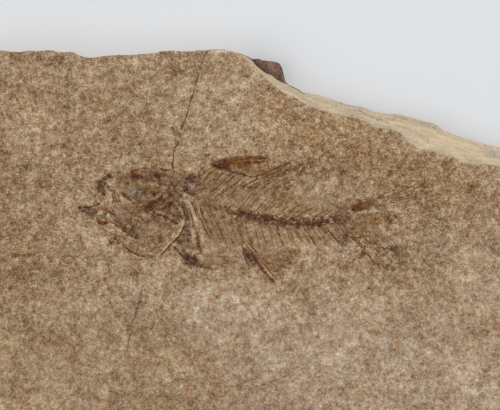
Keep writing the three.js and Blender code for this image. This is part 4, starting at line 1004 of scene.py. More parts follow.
# Faint casts over the speckle: the size and shift of their spots, the share above which they show, their
# strength and their colour
CASTS = (
    (1.5, 0.51, 0.46, 0.6, srgb(237, 210, 158)),
    (2.1, 0.63, 0.48, 0.6, srgb(222, 216, 230)),
    (1.8, 0.77, 0.5, 0.5, srgb(240, 211, 199)),
)
CAST_ROUGH, CAST_FULL = 0.6, 0.7
CALMING = -0.42
# The blotches that make a stain uneven, and how far the unevenness reaches
BLOTCH_NOISE, UNEVEN_REACH = (1.3, 0.6, 0.91), 0.16


def speckled(recipe, settings, contrast=1):
    """The speckled colour of the face, with what its fine relief is made of."""
    grain = recipe.noise(settings.grain_size, *GRAIN_NOISE)
    fleck = recipe.noise(settings.grain_size * FLECK_PER_GRAIN, *FLECK_NOISE)
    mottle = recipe.noise(settings.mottle_size, *MOTTLE_NOISE)
    patch = recipe.noise(settings.patch_size, *PATCH_NOISE)
    tone = recipe.sum((grain, 1.4), (fleck, 0.85), (mottle, 0.72), (patch, 0.4))
    calm = recipe.math("MULTIPLY_ADD", recipe.attribute("calm"), CALMING * contrast, contrast)
    tone = recipe.plus(recipe.times(tone, calm), 0.5, clamp=True)
    grains = (settings.dark_grain, settings.brown_grain, settings.tan_grain, settings.pale_grain)
    face = recipe.ramp(tone, list(zip(GRAIN_STOPS, grains)))
    for size, shift, low, strength, color in CASTS:
        share = recipe.between(recipe.noise(size, CAST_ROUGH, shift), low, CAST_FULL)
        face = recipe.blend(recipe.times(share, strength, clamp=True), face, color, "MULTIPLY")
    return face, grain, fleck, mottle


def tinted(recipe, face, grain, fleck, least, most):
    """Lays the stains and painted highlights and shade of a piece over the speckle, from least to most of the
    strength of each.
    """
    blotch = recipe.noise(*BLOTCH_NOISE)
    uneven = recipe.sum((grain, 0.5), (fleck, 0.4), (blotch, 0.7))
    broken_up = recipe.between(uneven, -UNEVEN_REACH, UNEVEN_REACH, most, least)
    for name, color in STAINS_AND_PAINTED_LIGHT.items():
        share = recipe.times(recipe.attribute(name), broken_up, clamp=True)
        tint = tuple(stain / stone for stain, stone in zip(color, FACE_COLOR))
        face = recipe.blend(share, face, tint, "MULTIPLY")
    return face


def shaded(color, *stops):
    """Stops for a ramp, each given as (place, share), with that share of the colour."""
    return [(at, tuple(share * part for part in color)) for at, share in stops]


# The noises of the broken slope: size, roughness, shift, detail, stretch and turn
SLOPE_TURN = math.radians(-20)
BED_NOISE, CRUMB_NOISE = (0.8, 0.65, 0.17, 3, (7, 3, 1), SLOPE_TURN), (0.7, 0.65, 0.31, 3)
LAYER_NOISE = (2.2, 0.5, 0.29, 2, (6, 3, 1), SLOPE_TURN)
GREYISH_NOISE = (1.6, 0.5, 0.43, 2, (3, 1.5, 1), SLOPE_TURN)
# Where along their tones the slope and the crust have how much of their colour
SLOPE_STOPS = ((0.04, 0.4), (0.2, 0.78), (0.52, 1), (0.85, 1.22))
CRUST_DARK_STOP, CRUST_STOPS = 0.28, ((0.52, 1), (0.85, 1.5))
# The slope's casts: from where to where along a noise they grow, and from how much to how much
GOLDEN_SHARE, GREYISH_SHARE = (0.5, 0.75, 0, 0.35), (0.5, 0.66, 0, 0.8)
GOLDEN_CAST, GREYISH_CAST = srgb(247, 236, 214), srgb(236, 238, 250)
# The cracks' dark, which also paints shade at the knob and along the slope's foot, and the crust's darkest
CRACK_AND_SHADE_COLOR, CRUST_DARK = srgb(68, 47, 36), srgb(72, 57, 52)
# The least and most of its strength that the stains, painted highlights and painted shade each have, the fine
# relief in millimetres, and the finish
STONE_TINTING, STONE_RELIEF, STONE_ROUGHNESS, STONE_SPECULAR = (0.45, 1.45), 0.09, 0.9, 0.12
BONE_TINTING, BONE_RELIEF, BONE_SPECULAR, BONE_CONTRAST = (0.7, 1.25), 0.06, 0.15, 0.8


def stone_material(settings):
    """Speckled limestone face with its stains and painted highlights, its pale broken slope, its brown crust,
    and its dark cracks and painted shade.
    """
    recipe = Recipe("speckled_limestone")
    face, grain, fleck, mottle = speckled(recipe, settings)
    face = tinted(recipe, face, grain, fleck, *STONE_TINTING)

    # The broken slope shows the bedding as streaks along it
    bed, layer, crumb = (recipe.noise(*sizes) for sizes in (BED_NOISE, LAYER_NOISE, CRUMB_NOISE))
    stops = shaded(settings.fracture, *SLOPE_STOPS)
    broken = recipe.ramp(recipe.tone((bed, 1.5), (layer, 0.9), (crumb, 1.2)), stops)
    broken = recipe.blend(recipe.between(layer, *GOLDEN_SHARE), broken, GOLDEN_CAST, "MULTIPLY")
    greyish = recipe.noise(*GREYISH_NOISE)
    broken = recipe.blend(recipe.between(greyish, *GREYISH_SHARE), broken, GREYISH_CAST, "MULTIPLY")
    surface = recipe.blend(recipe.attribute("broken"), face, broken)

    stops = [(CRUST_DARK_STOP, CRUST_DARK), *shaded(settings.crust, *CRUST_STOPS)]
    crusty = recipe.ramp(recipe.tone((crumb, 1.2), (mottle, 0.9)), stops)
    surface = recipe.blend(recipe.attribute("crust"), surface, crusty)
    # Cracks darken the face, and painted shade darkens the knob and the slope's foot
    surface = recipe.blend(recipe.attribute("crack"), surface, CRACK_AND_SHADE_COLOR)
    ledges = recipe.times(recipe.sum((bed, 3), (crumb, 1.5)), recipe.attribute("broken"))
    recipe.bump(recipe.plus(recipe.sum((grain, 1), (fleck, 0.8)), ledges), STONE_RELIEF)
    return recipe.finish(surface, STONE_ROUGHNESS, STONE_SPECULAR)


def bone_material(name, settings, roughness):
    """Thin brown bone on the stone, through which the stone's speckle shows."""
    recipe = Recipe(name)
    face, grain, fleck, _ = speckled(recipe, settings, BONE_CONTRAST)
    color = tinted(recipe, face, grain, fleck, *BONE_TINTING)
    recipe.bump(recipe.sum((grain, 1), (fleck, 0.7)), BONE_RELIEF)
    return recipe.finish(color, roughness, BONE_SPECULAR)


def reach(outline, angles, closed=True):
    """How far an outline is from the origin in each direction, or 0 where an open one isn't crossed."""
    spots = np.asarray(outline, float)
    ends = np.roll(spots, -1, 0) if closed else spots[1:]
    starts = spots if closed else spots[:-1]
    way = np.stack([np.cos(angles), np.sin(angles)], 1)
    side_a = way[:, :1] * starts[:, 1] - way[:, 1:] * starts[:, 0]
    side_b = way[:, :1] * ends[:, 1] - way[:, 1:] * ends[:, 0]
    with np.errstate(divide="ignore", invalid="ignore"):
        share = side_a / (side_a - side_b)
    x = starts[:, 0] + share * (ends[:, 0] - starts[:, 0])
    y = starts[:, 1] + share * (ends[:, 1] - starts[:, 1])
    along = way[:, :1] * x + way[:, 1:] * y
    along = np.where((side_a * side_b <= 0) & np.isfinite(share), along, 0)
    return np.maximum(along.max(1), 0)


SIDE_CORNERS = 960
GIRTH = 60
# The broken slope: its rings, its drop, the thickness of its beds and how far they step, in millimetres
SLOPE_STEPS, SLOPE_DROP, BED_THICKNESS = 15, 5.6, 0.8
BED_FLAT, BED_STEEP, EVEN_SHARE, STEPPED_SHARE = 0.55, 3.2, 0.45, 0.55
RIM_DROP, LEAST_SLOPE, LEAST_DROP, BROKEN_FADE, FOOT_EVENED = 0.03, 0.02, 0.12, 28, 6
# Where the knob and the thin painted shadow beside it, along the slope's foot, start and end, and how sharply
# they do
KNOB_FROM, KNOB_TO, KNOB_TIP = math.radians(76.5), math.radians(91.4), math.radians(87.4)
KNOB_FADE, TIP_FADE, LEAST_KNOB, KNOB_SPARED = 22, 35, 0.15, 0.5
SHADOW_LINE_FROM, SHADOW_LINE_FADE, SHADOW_LINE_OVERLAP, PAINTED_SHADE_DARK = math.radians(71.5), 60, 0.03, 0.9
# How rough each part of the sides is: height and size in millimetres, seed, and change on the way down
EDGE_ROUGH, FOOT_ROUGH, BACK_ROUGH = (0.08, 1.1, 21), (0.12, 1.6, 22), (0.1, 0.9, 23)
LEDGE_ROUGH, BED_ROUGH, STEP_ROUGH = (0.5, 6, 24, 2), (0.1, 0.9, 25, 3), (0.02, 1.3, 26, 5)
KNOB_ROUGH, WEAR_ROUGH, CHIP_ROUGH = (0.22, 1.3, 27, 1), (0.3, 3.1, 28, 3), (0.14, 0.8, 29, 7)
BASE_ROUGH = (0.35, 2.3, 30)
SIDE_WEAR, LEAST_WEAR, MOST_WEAR = 0.32, 0.02, 0.9
# Rings down the knob: their height, how far out towards the back layer they are, and how dark their painted
# shade is
KNOB_RINGS = (
    (6.25, 0.03, 0.5), (6.1, 0.45, 0), (5.8, 0.74, 0), (5.4, 0.9, 0.2), (4.9, 0.985, 0.5), (4.4, 1, 0.6),
    (3.95, 1, 0.6),
)
SIDE_HEIGHTS = (3.6, 2.9, 2.3, 1.6, 0.9, 0.35)


def side_rings():
    """Rings of corners down the slab's sides to the underside, with what each is made of and the painted
    shade it carries.
    """
    angles = np.linspace(0, 2 * math.pi, SIDE_CORNERS, endpoint=False)
    cosines, sines = np.cos(angles), np.sin(angles)

    def rough(height, size, seed, change=0, down=0):
        return height * lumps(angles * GIRTH, angles * 0 + down * change, size, seed)

    face = reach(FACE_EDGE, angles) + rough(*EDGE_ROUGH)
    foot = np.maximum(reach(SLOPE_FOOT, angles) + rough(*FOOT_ROUGH), face + LEAST_SLOPE)
    back = np.maximum(foot, reach(BACK_LAYER, angles, closed=False) + rough(*BACK_ROUGH))
    knob = soften((angles - KNOB_FROM) * KNOB_FADE) * soften((KNOB_TO - angles) * KNOB_FADE)
    knob = np.where(back > foot + LEAST_KNOB, knob, 0)
    shadow_line_to = KNOB_FROM + SHADOW_LINE_OVERLAP
    shadow_line = soften((angles - SHADOW_LINE_FROM) * SHADOW_LINE_FADE) * soften((shadow_line_to - angles) * SHADOW_LINE_FADE)
    tip = knob * soften((angles - KNOB_TIP) * TIP_FADE)
    rings = []

    def add(out, z, broken, crust, line=0):
        x = np.clip(out * cosines, -HALF_LENGTH, HALF_LENGTH)
        y = np.clip(out * sines, -HALF_WIDTH, HALF_WIDTH)
        # On the sides the crack mark carries only painted shade, at the knob and along the slope's foot
        marks = {"broken": broken, "crust": crust, "crack": line}
        marks = {label: np.broadcast_to(mark, x.shape) for label, mark in marks.items()}
        rings.append((np.stack([x, y, np.broadcast_to(z, x.shape)], 1), marks))

    rim_height = stone_height(face * cosines, face * sines)
    add(face, rim_height - RIM_DROP, 0, 0)
    for step in range(1, SLOPE_STEPS + 1):
        share = step / SLOPE_STEPS
        drop = SLOPE_DROP * share
        ledge = drop + rough(*LEDGE_ROUGH, drop)
        bed = np.floor(ledge / BED_THICKNESS) + soften((ledge / BED_THICKNESS % 1 - BED_FLAT) * BED_STEEP)
        lowered = EVEN_SHARE * drop + STEPPED_SHARE * bed * BED_THICKNESS + rough(*BED_ROUGH, drop)
        lowered = np.clip(lowered, LEAST_DROP * share, SLOPE_DROP)
        lowered = lowered + (drop - lowered) * soften(share * FOOT_EVENED - (FOOT_EVENED - 1))
        place = share + rough(*STEP_ROUGH, drop) * math.sin(math.pi * share)
        z = rim_height * (1 - share) + (FACE - FACE_SINK) * share - lowered
        # A thin painted shadow along the slope's foot beside the knob
        line = PAINTED_SHADE_DARK * shadow_line * (step >= SLOPE_STEPS - 1)
        add(face + (foot - face) * place, z, soften(share * BROKEN_FADE), 0, line)
    # Painted shade darkens the knob at its foot, down its lower flanks and over its left end
    for z, out, dark in KNOB_RINGS:
        lump = rough(*KNOB_ROUGH, z) * knob
        add(foot + (back - foot) * out, z + lump, 1, knob, np.maximum(dark * knob, PAINTED_SHADE_DARK * tip))
    for z in SIDE_HEIGHTS:
        wear = SIDE_WEAR + rough(*WEAR_ROUGH, z) + rough(*CHIP_ROUGH, z)
        add(back - np.clip(wear, LEAST_WEAR, MOST_WEAR) * (1 - KNOB_SPARED * knob), z, 1, knob)
    add(back - MOST_WEAR - rough(*BASE_ROUGH), 0, 1, knob)
    return rings


SHAKE = 0.22


def scatter(spacing, low, high, seed):
    """Places on a shaken honeycomb of the given spacing between two corners."""
    rows = np.arange(low[1], high[1], spacing * math.sqrt(3) / 2)
    columns = np.arange(low[0], high[0], spacing)
    x, y = np.meshgrid(columns, rows)
    x = x + spacing / 2 * (np.arange(len(rows)) % 2)[:, None]
    shake = np.random.default_rng(seed).uniform(-SHAKE, SHAKE, (2, *x.shape)) * spacing
    return (x + shake[0]).ravel(), (y + shake[1]).ravel()


# How far apart the places lie, and how near the fish, the rim or a crack they get closer, in millimetres
CRACK_FINE, FINE, MIDDLING, COARSE = 0.15, 0.225, 0.55, 1.15
NEAR_FISH, NEAR_CRACK, ON_CRACK, RIM_SPACING = 2.5, 1.6, 0.45, 0.35
PLACE_SEED = 40


def face_places(edge):
    """Places inside the face's edge: closest along the cracks, then on the fish, then near the edge."""
    cracks = [from_photo(UPPER_CRACK), from_photo(LOWER_CRACK)]
    zone = from_photo(FISH_ZONE)
    kept = []
    for level, spacing in enumerate((CRACK_FINE, FINE, MIDDLING, COARSE)):
        x, y = scatter(spacing, edge.min(0), edge.max(0), PLACE_SEED + level)
        rim = distance(x, y, looped(edge)[::4])
        crack = np.minimum(*(distance(x, y, path) for path in cracks))
        near = (distance(x, y, looped(zone)) < NEAR_FISH) | (rim < NEAR_FISH) | (crack < NEAR_CRACK)
        wanted = np.where(near, 2, 3)
        wanted[inside(x, y, zone)] = 1
        wanted[crack < ON_CRACK] = 0
        keep = inside(x, y, edge) & (rim > 0.9 * max(spacing, RIM_SPACING)) & (wanted == level)
        kept.append(np.stack([x[keep], y[keep]], 1))
    return np.vstack(kept)


# Strewn bits: their least half length and most bend in pixels, and how their strengths and widths vary
CRUMB_SEED = 70
BIT_SHORTEST, BIT_BEND, BIT_STRENGTHS, BIT_WIDTHS = 0.8, 0.6, (0.6, 1), (0.9, 2.1)


def all_lines(bones):
    """A piece's slender bones with its strewn bits, which come out the same each time."""
    found = [Line(*entry[:3], path) for entry in bones.lines for path in entry[3:]]
    for n, entry in enumerate(bones.crumbs):
        crumbs = Crumbs(*entry)
        random = np.random.default_rng(CRUMB_SEED + n)
        outline = np.array(crumbs.outline, float)
        spots = random.uniform(outline.min(0), outline.max(0), (8 * crumbs.count, 2))
        spots = spots[inside(spots[:, 0], spots[:, 1], outline)][:crumbs.count]
        least, most = math.radians(crumbs.way - crumbs.spread), math.radians(crumbs.way + crumbs.spread)
        for spot in spots:
            lowest, highest = (least, BIT_SHORTEST, -BIT_BEND), (most, crumbs.longest, BIT_BEND)
            turn, half, bend = random.uniform(lowest, highest)
            way = np.array([math.cos(turn), math.sin(turn)])
            side = np.array([-way[1], way[0]])
            path = [spot - half * way, spot + bend * side, spot + half * way]
            strength = crumbs.strength * random.uniform(*BIT_STRENGTHS)
            found.append(Line(crumbs.stain, strength, random.uniform(*BIT_WIDTHS), path))
    return found


def fans_of(bones):
    """A piece's fans of rays."""
    return [Fan(*entry) for entry in bones.fans]


HALO_SPREAD, HALO_STRENGTH, FAN_STRENGTH, FAN_FADE = 0.8, 0.4, 0.12, 3


def paint_bones(brush, share=1.0):
    """The stains, and for pale and pink lines the painted highlights, that the bones leave on what lies round
    them.
    """
    for bones in (*HEAD, BACKBONE, *FINS):
        for line in all_lines(bones):
            strength = line.strength * HALO_STRENGTH * share
            brush.stroke(line.stain, line.path, line.width + HALO_SPREAD, strength)
        for fan in fans_of(bones):
            brush.patch(fan.stain, fan.roots + fan.tips[::-1], FAN_FADE, FAN_STRENGTH * fan.strength * share)


# The dark run along the column: its stains and pixels, the width of each stain there, and its strength
STAINED_RUN = COLUMN[4:12] + [(331, 221.6), (339, 220.6), (345, 218.4), (350, 214)]
RUN_STROKES = (
    ("red", STAINED_RUN, [10, 10, 8, 8, 9.5, 10.5, 10.5, 10.5, 11, 11, 9, 6], 0.6),
    ("dark", STAINED_RUN, [4, 5, 4, 4, 5, 6, 6, 6, 6.5, 6.5, 4, 2], 0.42),
    ("brown", COLUMN[:6], 5, 0.5),
)


def paint_films(brush):
    """The stains of the body, with its grey partly painted shade, and the broad patches of the stone itself.
    """
    for stain, strength, fade, outline in (*STONE_FILMS, *BODY_FILMS):
        brush.patch(stain, outline, fade, strength)
    for stroke in RUN_STROKES:
        brush.stroke(*stroke)


PALE_COVER, MOST_CLEARED = 1.4, 0.85
DARKER_STAINS_AND_SHADE = ("brown", "dark", "rust", "red", "plum", "ochre", "grey")


def clear_under_pale(amounts):
    """Thins the darker stains and painted shade where pale bone and painted highlight lie over them."""
    pale = np.clip(PALE_COVER * np.maximum(amounts["pale"], amounts["pink"]), 0, MOST_CLEARED)
    for stain in DARKER_STAINS_AND_SHADE:
        amounts[stain] = amounts[stain] * (1 - pale)


SAME_SPOT = 1e-6


def filled(outline, inner):
    """All spots in and on an outline, the triangles between them, and which spots are the outline's own."""
    n = len(outline)
    border = [(i, (i + 1) % n) for i in range(n)]
    spots = [Vector(spot) for spot in np.vstack([outline, inner])]
    found = delaunay_2d_cdt(spots, border, [], 1, SAME_SPOT)
    ring = np.zeros(n, int)
    for new, old in enumerate(found[3]):
        for source in old:
            if source < n:
                ring[source] = new
    return np.array([tuple(spot) for spot in found[0]]), np.array([tuple(face) for face in found[2]]), ring


# How a crack fades at its sides, and how much stronger and weaker it gets along its way
CRACK_REACH, CRACK_FADE, CRACK_EVEN, CRACK_UNEVEN = 1.25, 1.4, 0.8, ((0.04, 0.4, 54),)


def slab_piece(settings):
    """The whole stone: a dense face with the body's stains, broken sides and a flat underside."""
    rings = side_rings()
    rim = rings[0][0]
    edge = rim[:, :2]
    flat, triangles, above = filled(edge, face_places(edge))
    x, y = flat.T
    brush = Brush(x, y)
    paint_films(brush)
    paint_bones(brush)
    clear_under_pale(brush.amounts)
    crack = np.zeros(len(x))
    for path, widths in ((UPPER_CRACK, UPPER_CRACK_WIDTHS), (LOWER_CRACK, LOWER_CRACK_WIDTHS)):
        gap, along = across(x, y, from_photo(path), np.array(widths) * MM_PER_PIXEL * CRACK_REACH)
        broken_up = CRACK_EVEN + layered(along, along * 0, CRACK_UNEVEN)
        crack = np.maximum(crack, broken_up * soften(CRACK_FADE - gap))
    height = stone_height(x, y) - settings.crack_depth * crack
    height[above] = rim[:, 2]

    corners = [np.stack([x, y, height], 1), *(ring for ring, _ in rings[1:]), np.zeros((1, 3))]
    faces = triangles.tolist()
    base = len(x)
    for _ in rings[1:]:
        below = base + np.arange(SIDE_CORNERS)
        faces.extend(zip(above, below, np.roll(below, -1), np.roll(above, -1)))
        above = below
        base += SIDE_CORNERS
    faces.extend((base, after, before) for before, after in zip(above, np.roll(above, -1)))
    unmarked = np.zeros(SIDE_CORNERS)
    amounts = {**brush.amounts, "crack": crack, "broken": np.zeros(len(x)), "crust": np.zeros(len(x))}
    for label, values in amounts.items():
        sides = [marks.get(label, unmarked) for _, marks in rings[1:]]
        amounts[label] = np.concatenate([values, *sides, [float(label == "broken")]])
    return piece_from("speckled_slab", np.vstack(corners), faces, stone_material(settings), amounts)


class Tree(Nodes):
    """Lays out the nodes of one tree that grows a shape from a guide mesh."""

    def __init__(self, name, sizes):
        super().__init__(bpy.data.node_groups.new(name, "GeometryNodeTree"))
        sides = self.tree.interface
        sides.new_socket("Geometry", in_out="INPUT", socket_type="NodeSocketGeometry")
        for label, (kind, value) in sizes.items():
            socket = sides.new_socket(label, in_out="INPUT", socket_type="NodeSocket" + kind)
            if value is not None:
                socket.default_value = value
        sides.new_socket("Geometry", in_out="OUTPUT", socket_type="NodeSocketGeometry")
        self.given = self.tree.nodes.new("NodeGroupInput").outputs
        self.result = self.tree.nodes.new("NodeGroupOutput").inputs["Geometry"]

    def place(self):
        return self.out("GeometryNodeInputPosition")

    def along(self):
        """How far along its curve each point lies, from 0 to 1."""
        return self.out("GeometryNodeSplineParameter")

    def vector(self, operation, first, second):
        node = self.node("ShaderNodeVectorMath", {"Vector": first}, operation=operation)
        self.feed(node.inputs["Scale"] if operation == "SCALE" else node.inputs[1], second)
        return node.outputs[0]

    def xyz(self, x, y, z):
        return self.out("ShaderNodeCombineXYZ", {"X": x, "Y": y, "Z": z})

    def stored(self, name):
        return self.out("GeometryNodeInputNamedAttribute", {"Name": name}, data_type="FLOAT")

    def store(self, geometry, name, value):
        sockets = {"Geometry": geometry, "Name": name, "Value": value}
        return self.out("GeometryNodeStoreNamedAttribute", sockets, data_type="FLOAT", domain="POINT")

    def random(self, low, high, number, seed):
        sockets = {"Min_001": low, "Max_001": high, "ID": number, "Seed": seed}
        node = self.node("FunctionNodeRandomValue", sockets, data_type="FLOAT")
        return next(socket for socket in node.outputs if socket.identifier == "Value_001")

    def curves(self):
        """A curve along each chain of edges in the guide mesh."""
        return self.out("GeometryNodeMeshToCurve", {"Mesh": self.given["Geometry"]})

    def moved(self, geometry, **sockets):
        return self.out("GeometryNodeSetPosition", {"Geometry": geometry, **sockets})

    def flattened(self, geometry, flatness, sink):
        """Lowers the shape by sink and presses it towards the face."""
        lowered = self.vector("SUBTRACT", self.place(), self.xyz(0, 0, sink))
        return self.moved(geometry, Position=self.vector("MULTIPLY", lowered, self.xyz(1, 1, flatness)))

    def finish(self, geometry):
        """Makes the shape real and smooth, gives it its material, and returns the tree."""
        real = self.out("GeometryNodeRealizeInstances", {"Geometry": geometry})
        smooth = self.out("GeometryNodeSetShadeSmooth", {"Geometry": real})
        sockets = {"Geometry": smooth, "Material": self.given["Material"]}
        self.feed(self.result, self.out("GeometryNodeSetMaterial", sockets))
        return self.tree


SWEEP_SIZES = {
    "Step": ("Float", 0.28 * MM), "Waver": ("Float", 0.12 * MM), "Wear": ("Float", 0.3),
    "Material": ("Material", None),
}
# How far apart a bone's bends and chips are, and how thin it may get, in millimetres
DRIFT_SIZE, CHIP_SIZE, LEAST_HALF_WIDTH = 1.6, 0.7, 0.03
# How fast a bone widens from its ends, how thin it is there, how round it is and how deep it lies
TAPER, THIN_END, SWEEP_SIDES, SWEEP_SINK = 6, 0.28, 8, 0.42


def sweep_tree():
    """Turns curves into worn, flat-lying bones, as wide and as high as their points say."""
    tree = Tree("bone_sweep", SWEEP_SIZES)
    sockets = {"Curve": tree.given["Geometry"], "Length": tree.given["Step"]}
    fine = tree.out("GeometryNodeResampleCurve", sockets, mode="LENGTH")
    place, along = tree.place(), tree.along()
    drift = tree.node("ShaderNodeTexNoise", {"Vector": place, "Scale": 1 / (DRIFT_SIZE * MM), "Detail": 1})
    shift = tree.vector("SUBTRACT", drift.outputs["Color"], (0.5, 0.5, 0.5))
    shift = tree.vector("SCALE", tree.vector("MULTIPLY", shift, (2, 2, 0)), tree.given["Waver"])
    end = tree.math("MINIMUM", along, tree.minus(1, along))
    taper = tree.plus(tree.times(end, TAPER), THIN_END, clamp=True)
    chips = tree.out("ShaderNodeTexNoise", {"Vector": place, "Scale": 1 / (CHIP_SIZE * MM), "Detail": 1})
    worn = tree.times(tree.minus(chips, 0.5), tree.times(tree.given["Wear"], 4))
    half_width = tree.stored("half_width")
    width = tree.times(tree.times(half_width, tree.plus(worn, 1)), taper)
    ring = tree.out("GeometryNodeCurvePrimitiveCircle", {"Resolution": SWEEP_SIDES, "Radius": 1})
    sockets = {"Curve": tree.moved(fine, Offset=shift), "Profile Curve": ring, "Fill Caps": True}
    sockets["Scale"] = tree.math("MAXIMUM", width, LEAST_HALF_WIDTH * MM)
    tube = tree.out("GeometryNodeCurveToMesh", sockets)
    sink = tree.times(half_width, SWEEP_SINK)
    return tree.finish(tree.flattened(tube, tree.stored("flatness"), sink))


def passed_on(tree, sweep, curves):
    """Hands curves and the shared sizes to the sweep inside another tree."""
    sockets = {"Geometry": curves, **{label: tree.given[label] for label in SWEEP_SIZES}}
    return tree.out("GeometryNodeGroup", sockets, node_tree=sweep)


def line_tree(sweep):
    """One bone along each chain of edges."""
    tree = Tree("bones_along_lines", SWEEP_SIZES)
    return tree.finish(passed_on(tree, sweep, tree.curves()))


# The points along a ray, and how far its place, length, width and tone vary
RAY_POINTS, RAY_FLATNESS = 9, 0.7
RAY_PLACES, RAY_LENGTHS, RAY_WIDTHS, RAY_TONES = (-0.25, 0.25), (0.8, 1), (0.45, 0.8), (0.65, 1)


def fan_tree(sweep):
    """Rays spread from the first chain of edges to the second."""
    tree = Tree("rays_in_a_fan", {
        "Rays": ("Int", 8), "Root Width": ("Float", 0.3 * MM), "Tip Width": ("Float", 0.2 * MM),
        "Bend": ("Float", 0.03), "Seed": ("Int", 1), **SWEEP_SIZES,
    })
    guides, along = tree.curves(), tree.along()
    stick = tree.out("GeometryNodeCurvePrimitiveLine", {"Start": (0, 0, 0), "End": (MM, 0, 0)})
    stick = tree.out("GeometryNodeResampleCurve", {"Curve": stick, "Count": RAY_POINTS}, mode="COUNT")
    sockets = {"Geometry": stick, "Amount": tree.given["Rays"]}
    copies = tree.node("GeometryNodeDuplicateElements", sockets, domain="SPLINE")
    number = copies.outputs["Duplicate Index"]

    def varied(low, high, seed=0):
        return tree.random(low, high, number, tree.plus(tree.given["Seed"], seed))

    gaps = tree.minus(tree.given["Rays"], 1)
    share = tree.math("DIVIDE", tree.plus(number, varied(*RAY_PLACES)), gaps, clamp=True)
    ends = []
    for chain in (0, 1):
        sockets = {"Curves": guides, "Factor": share, "Curve Index": chain}
        ends.append(tree.node("GeometryNodeSampleCurve", sockets, mode="FACTOR").outputs["Position"])
    whole = tree.vector("SUBTRACT", ends[1], ends[0])
    way = tree.vector("SCALE", whole, tree.times(along, varied(*RAY_LENGTHS, 7)))
    place = tree.vector("ADD", ends[0], way)
    bow = tree.times(tree.times(tree.times(along, tree.minus(1, along)), 4), tree.given["Bend"])
    side = tree.vector("CROSS_PRODUCT", whole, (0, 0, 1))
    place = tree.vector("ADD", place, tree.vector("SCALE", side, bow))
    rays = tree.moved(copies.outputs["Geometry"], Position=place)
    thinner = tree.minus(tree.given["Tip Width"], tree.given["Root Width"])
    width = tree.plus(tree.given["Root Width"], tree.times(along, thinner))
    rays = tree.store(rays, "half_width", tree.times(width, varied(*RAY_WIDTHS, 3)))
    rays = tree.store(rays, "flatness", RAY_FLATNESS)
    rays = tree.store(rays, "tone", varied(*RAY_TONES, 5))
    return tree.finish(passed_on(tree, sweep, rays))


# A vertebra's corners and rings, its waist, how far its width and length vary, and how deep it lies
DRUM_CORNERS, DRUM_RINGS, WAIST, FLARE, COLUMN_SINK = 10, 4, 0.65, 1.4, 0.22
VERTEBRA_WIDTHS, VERTEBRA_LENGTHS = (0.75, 1.2), (0.85, 1)


def column_tree():
    """Waisted vertebrae in a row along a chain of edges."""
    tree = Tree("vertebrae_in_a_column", {
        "Vertebrae": ("Int", 24), "Width": ("Float", 1.1 * MM), "Length": ("Float", 1.6 * MM),
        "Flatness": ("Float", 0.5), "Seed": ("Int", 1), "Material": ("Material", None),
    })
    sockets = {"Curve": tree.curves(), "Count": tree.given["Vertebrae"]}
    points = tree.node("GeometryNodeCurveToPoints", sockets, mode="COUNT").outputs
    sockets = {"Vertices": DRUM_CORNERS, "Side Segments": DRUM_RINGS, "Radius": 0.5, "Depth": 1}
    drum = tree.out("GeometryNodeMeshCylinder", sockets)
    place = tree.place()
    height = tree.node("ShaderNodeSeparateXYZ", {"Vector": place}).outputs["Z"]
    waist = tree.plus(tree.times(tree.times(height, height), FLARE), WAIST)
    vertebra = tree.moved(drum, Position=tree.vector("MULTIPLY", place, tree.xyz(waist, waist, 1)))
    turn = tree.out("FunctionNodeAlignRotationToVector", {"Vector": points["Tangent"]}, axis="Z")
    number, seed = tree.out("GeometryNodeInputIndex"), tree.given["Seed"]
    wide = tree.times(tree.given["Width"], tree.random(*VERTEBRA_WIDTHS, number, seed))
    lengths = tree.random(*VERTEBRA_LENGTHS, number, tree.plus(seed, 2))
    long = tree.times(tree.given["Length"], lengths)
    size = tree.xyz(wide, wide, long)
    sockets = {"Points": points["Points"], "Instance": vertebra, "Rotation": turn, "Scale": size}
    column = tree.out("GeometryNodeInstanceOnPoints", sockets)
    real = tree.out("GeometryNodeRealizeInstances", {"Geometry": column})
    sink = tree.times(tree.given["Width"], COLUMN_SINK)
    return tree.finish(tree.flattened(real, tree.given["Flatness"], sink))


def guide_mesh(chains, amounts=()):
    """A mesh of edges only, one chain for each list of places in millimetres."""
    corners = np.vstack(chains)
    edges = []
    for chain in chains:
        first = edges[-1][1] + 1 if edges else 0
        edges.extend((first + n, first + n + 1) for n in range(len(chain) - 1))
    mesh = bpy.data.meshes.new("guide")
    mesh.from_pydata(np.column_stack([corners * MM, np.zeros(len(corners))]).tolist(), edges, [])
    add_amounts(mesh, dict(amounts))
    return mesh


def grown(tree, guide, sizes):
    """The mesh that a tree grows from a guide mesh with these sizes."""
    carrier = bpy.data.objects.new("guide", guide)
    bpy.context.scene.collection.objects.link(carrier)
    modifier = carrier.modifiers.new("grow", "NODES")
    modifier.node_group = tree
    for item in tree.interface.items_tree:
        if item.in_out == "INPUT" and item.name in sizes:
            modifier[item.identifier] = sizes[item.name]
    graph = bpy.context.evaluated_depsgraph_get()
    shape = carrier.evaluated_get(graph)
    mesh = bpy.data.meshes.new_from_object(shape, preserve_all_data_layers=True, depsgraph=graph)
    carrier.modifiers.clear()
    bpy.data.objects.remove(carrier)
    bpy.data.meshes.remove(guide)
    return mesh


def curved(path, step):
    """A smooth run of places through a path's points, about step apart, with each one's share of the way."""
    spots = np.asarray(path, float)
    padded = np.vstack([2 * spots[0] - spots[1], spots, 2 * spots[-1] - spots[-2]])
    run, shares = [], []
    for n in range(len(spots) - 1):
        before, start, end, after = padded[n:n + 4]
        count = max(1, round(np.hypot(*(end - start)) / step))
        for share in np.arange(count) / count:
            run.append(0.5 * (
                2 * start + (end - before) * share + (2 * before - 5 * start + 4 * end - after) * share ** 2
                + (3 * start - before - 3 * end + after) * share ** 3
            ))
            shares.append((n + share) / (len(spots) - 1))
    return np.array(run + [spots[-1]]), np.array(shares + [1.0])


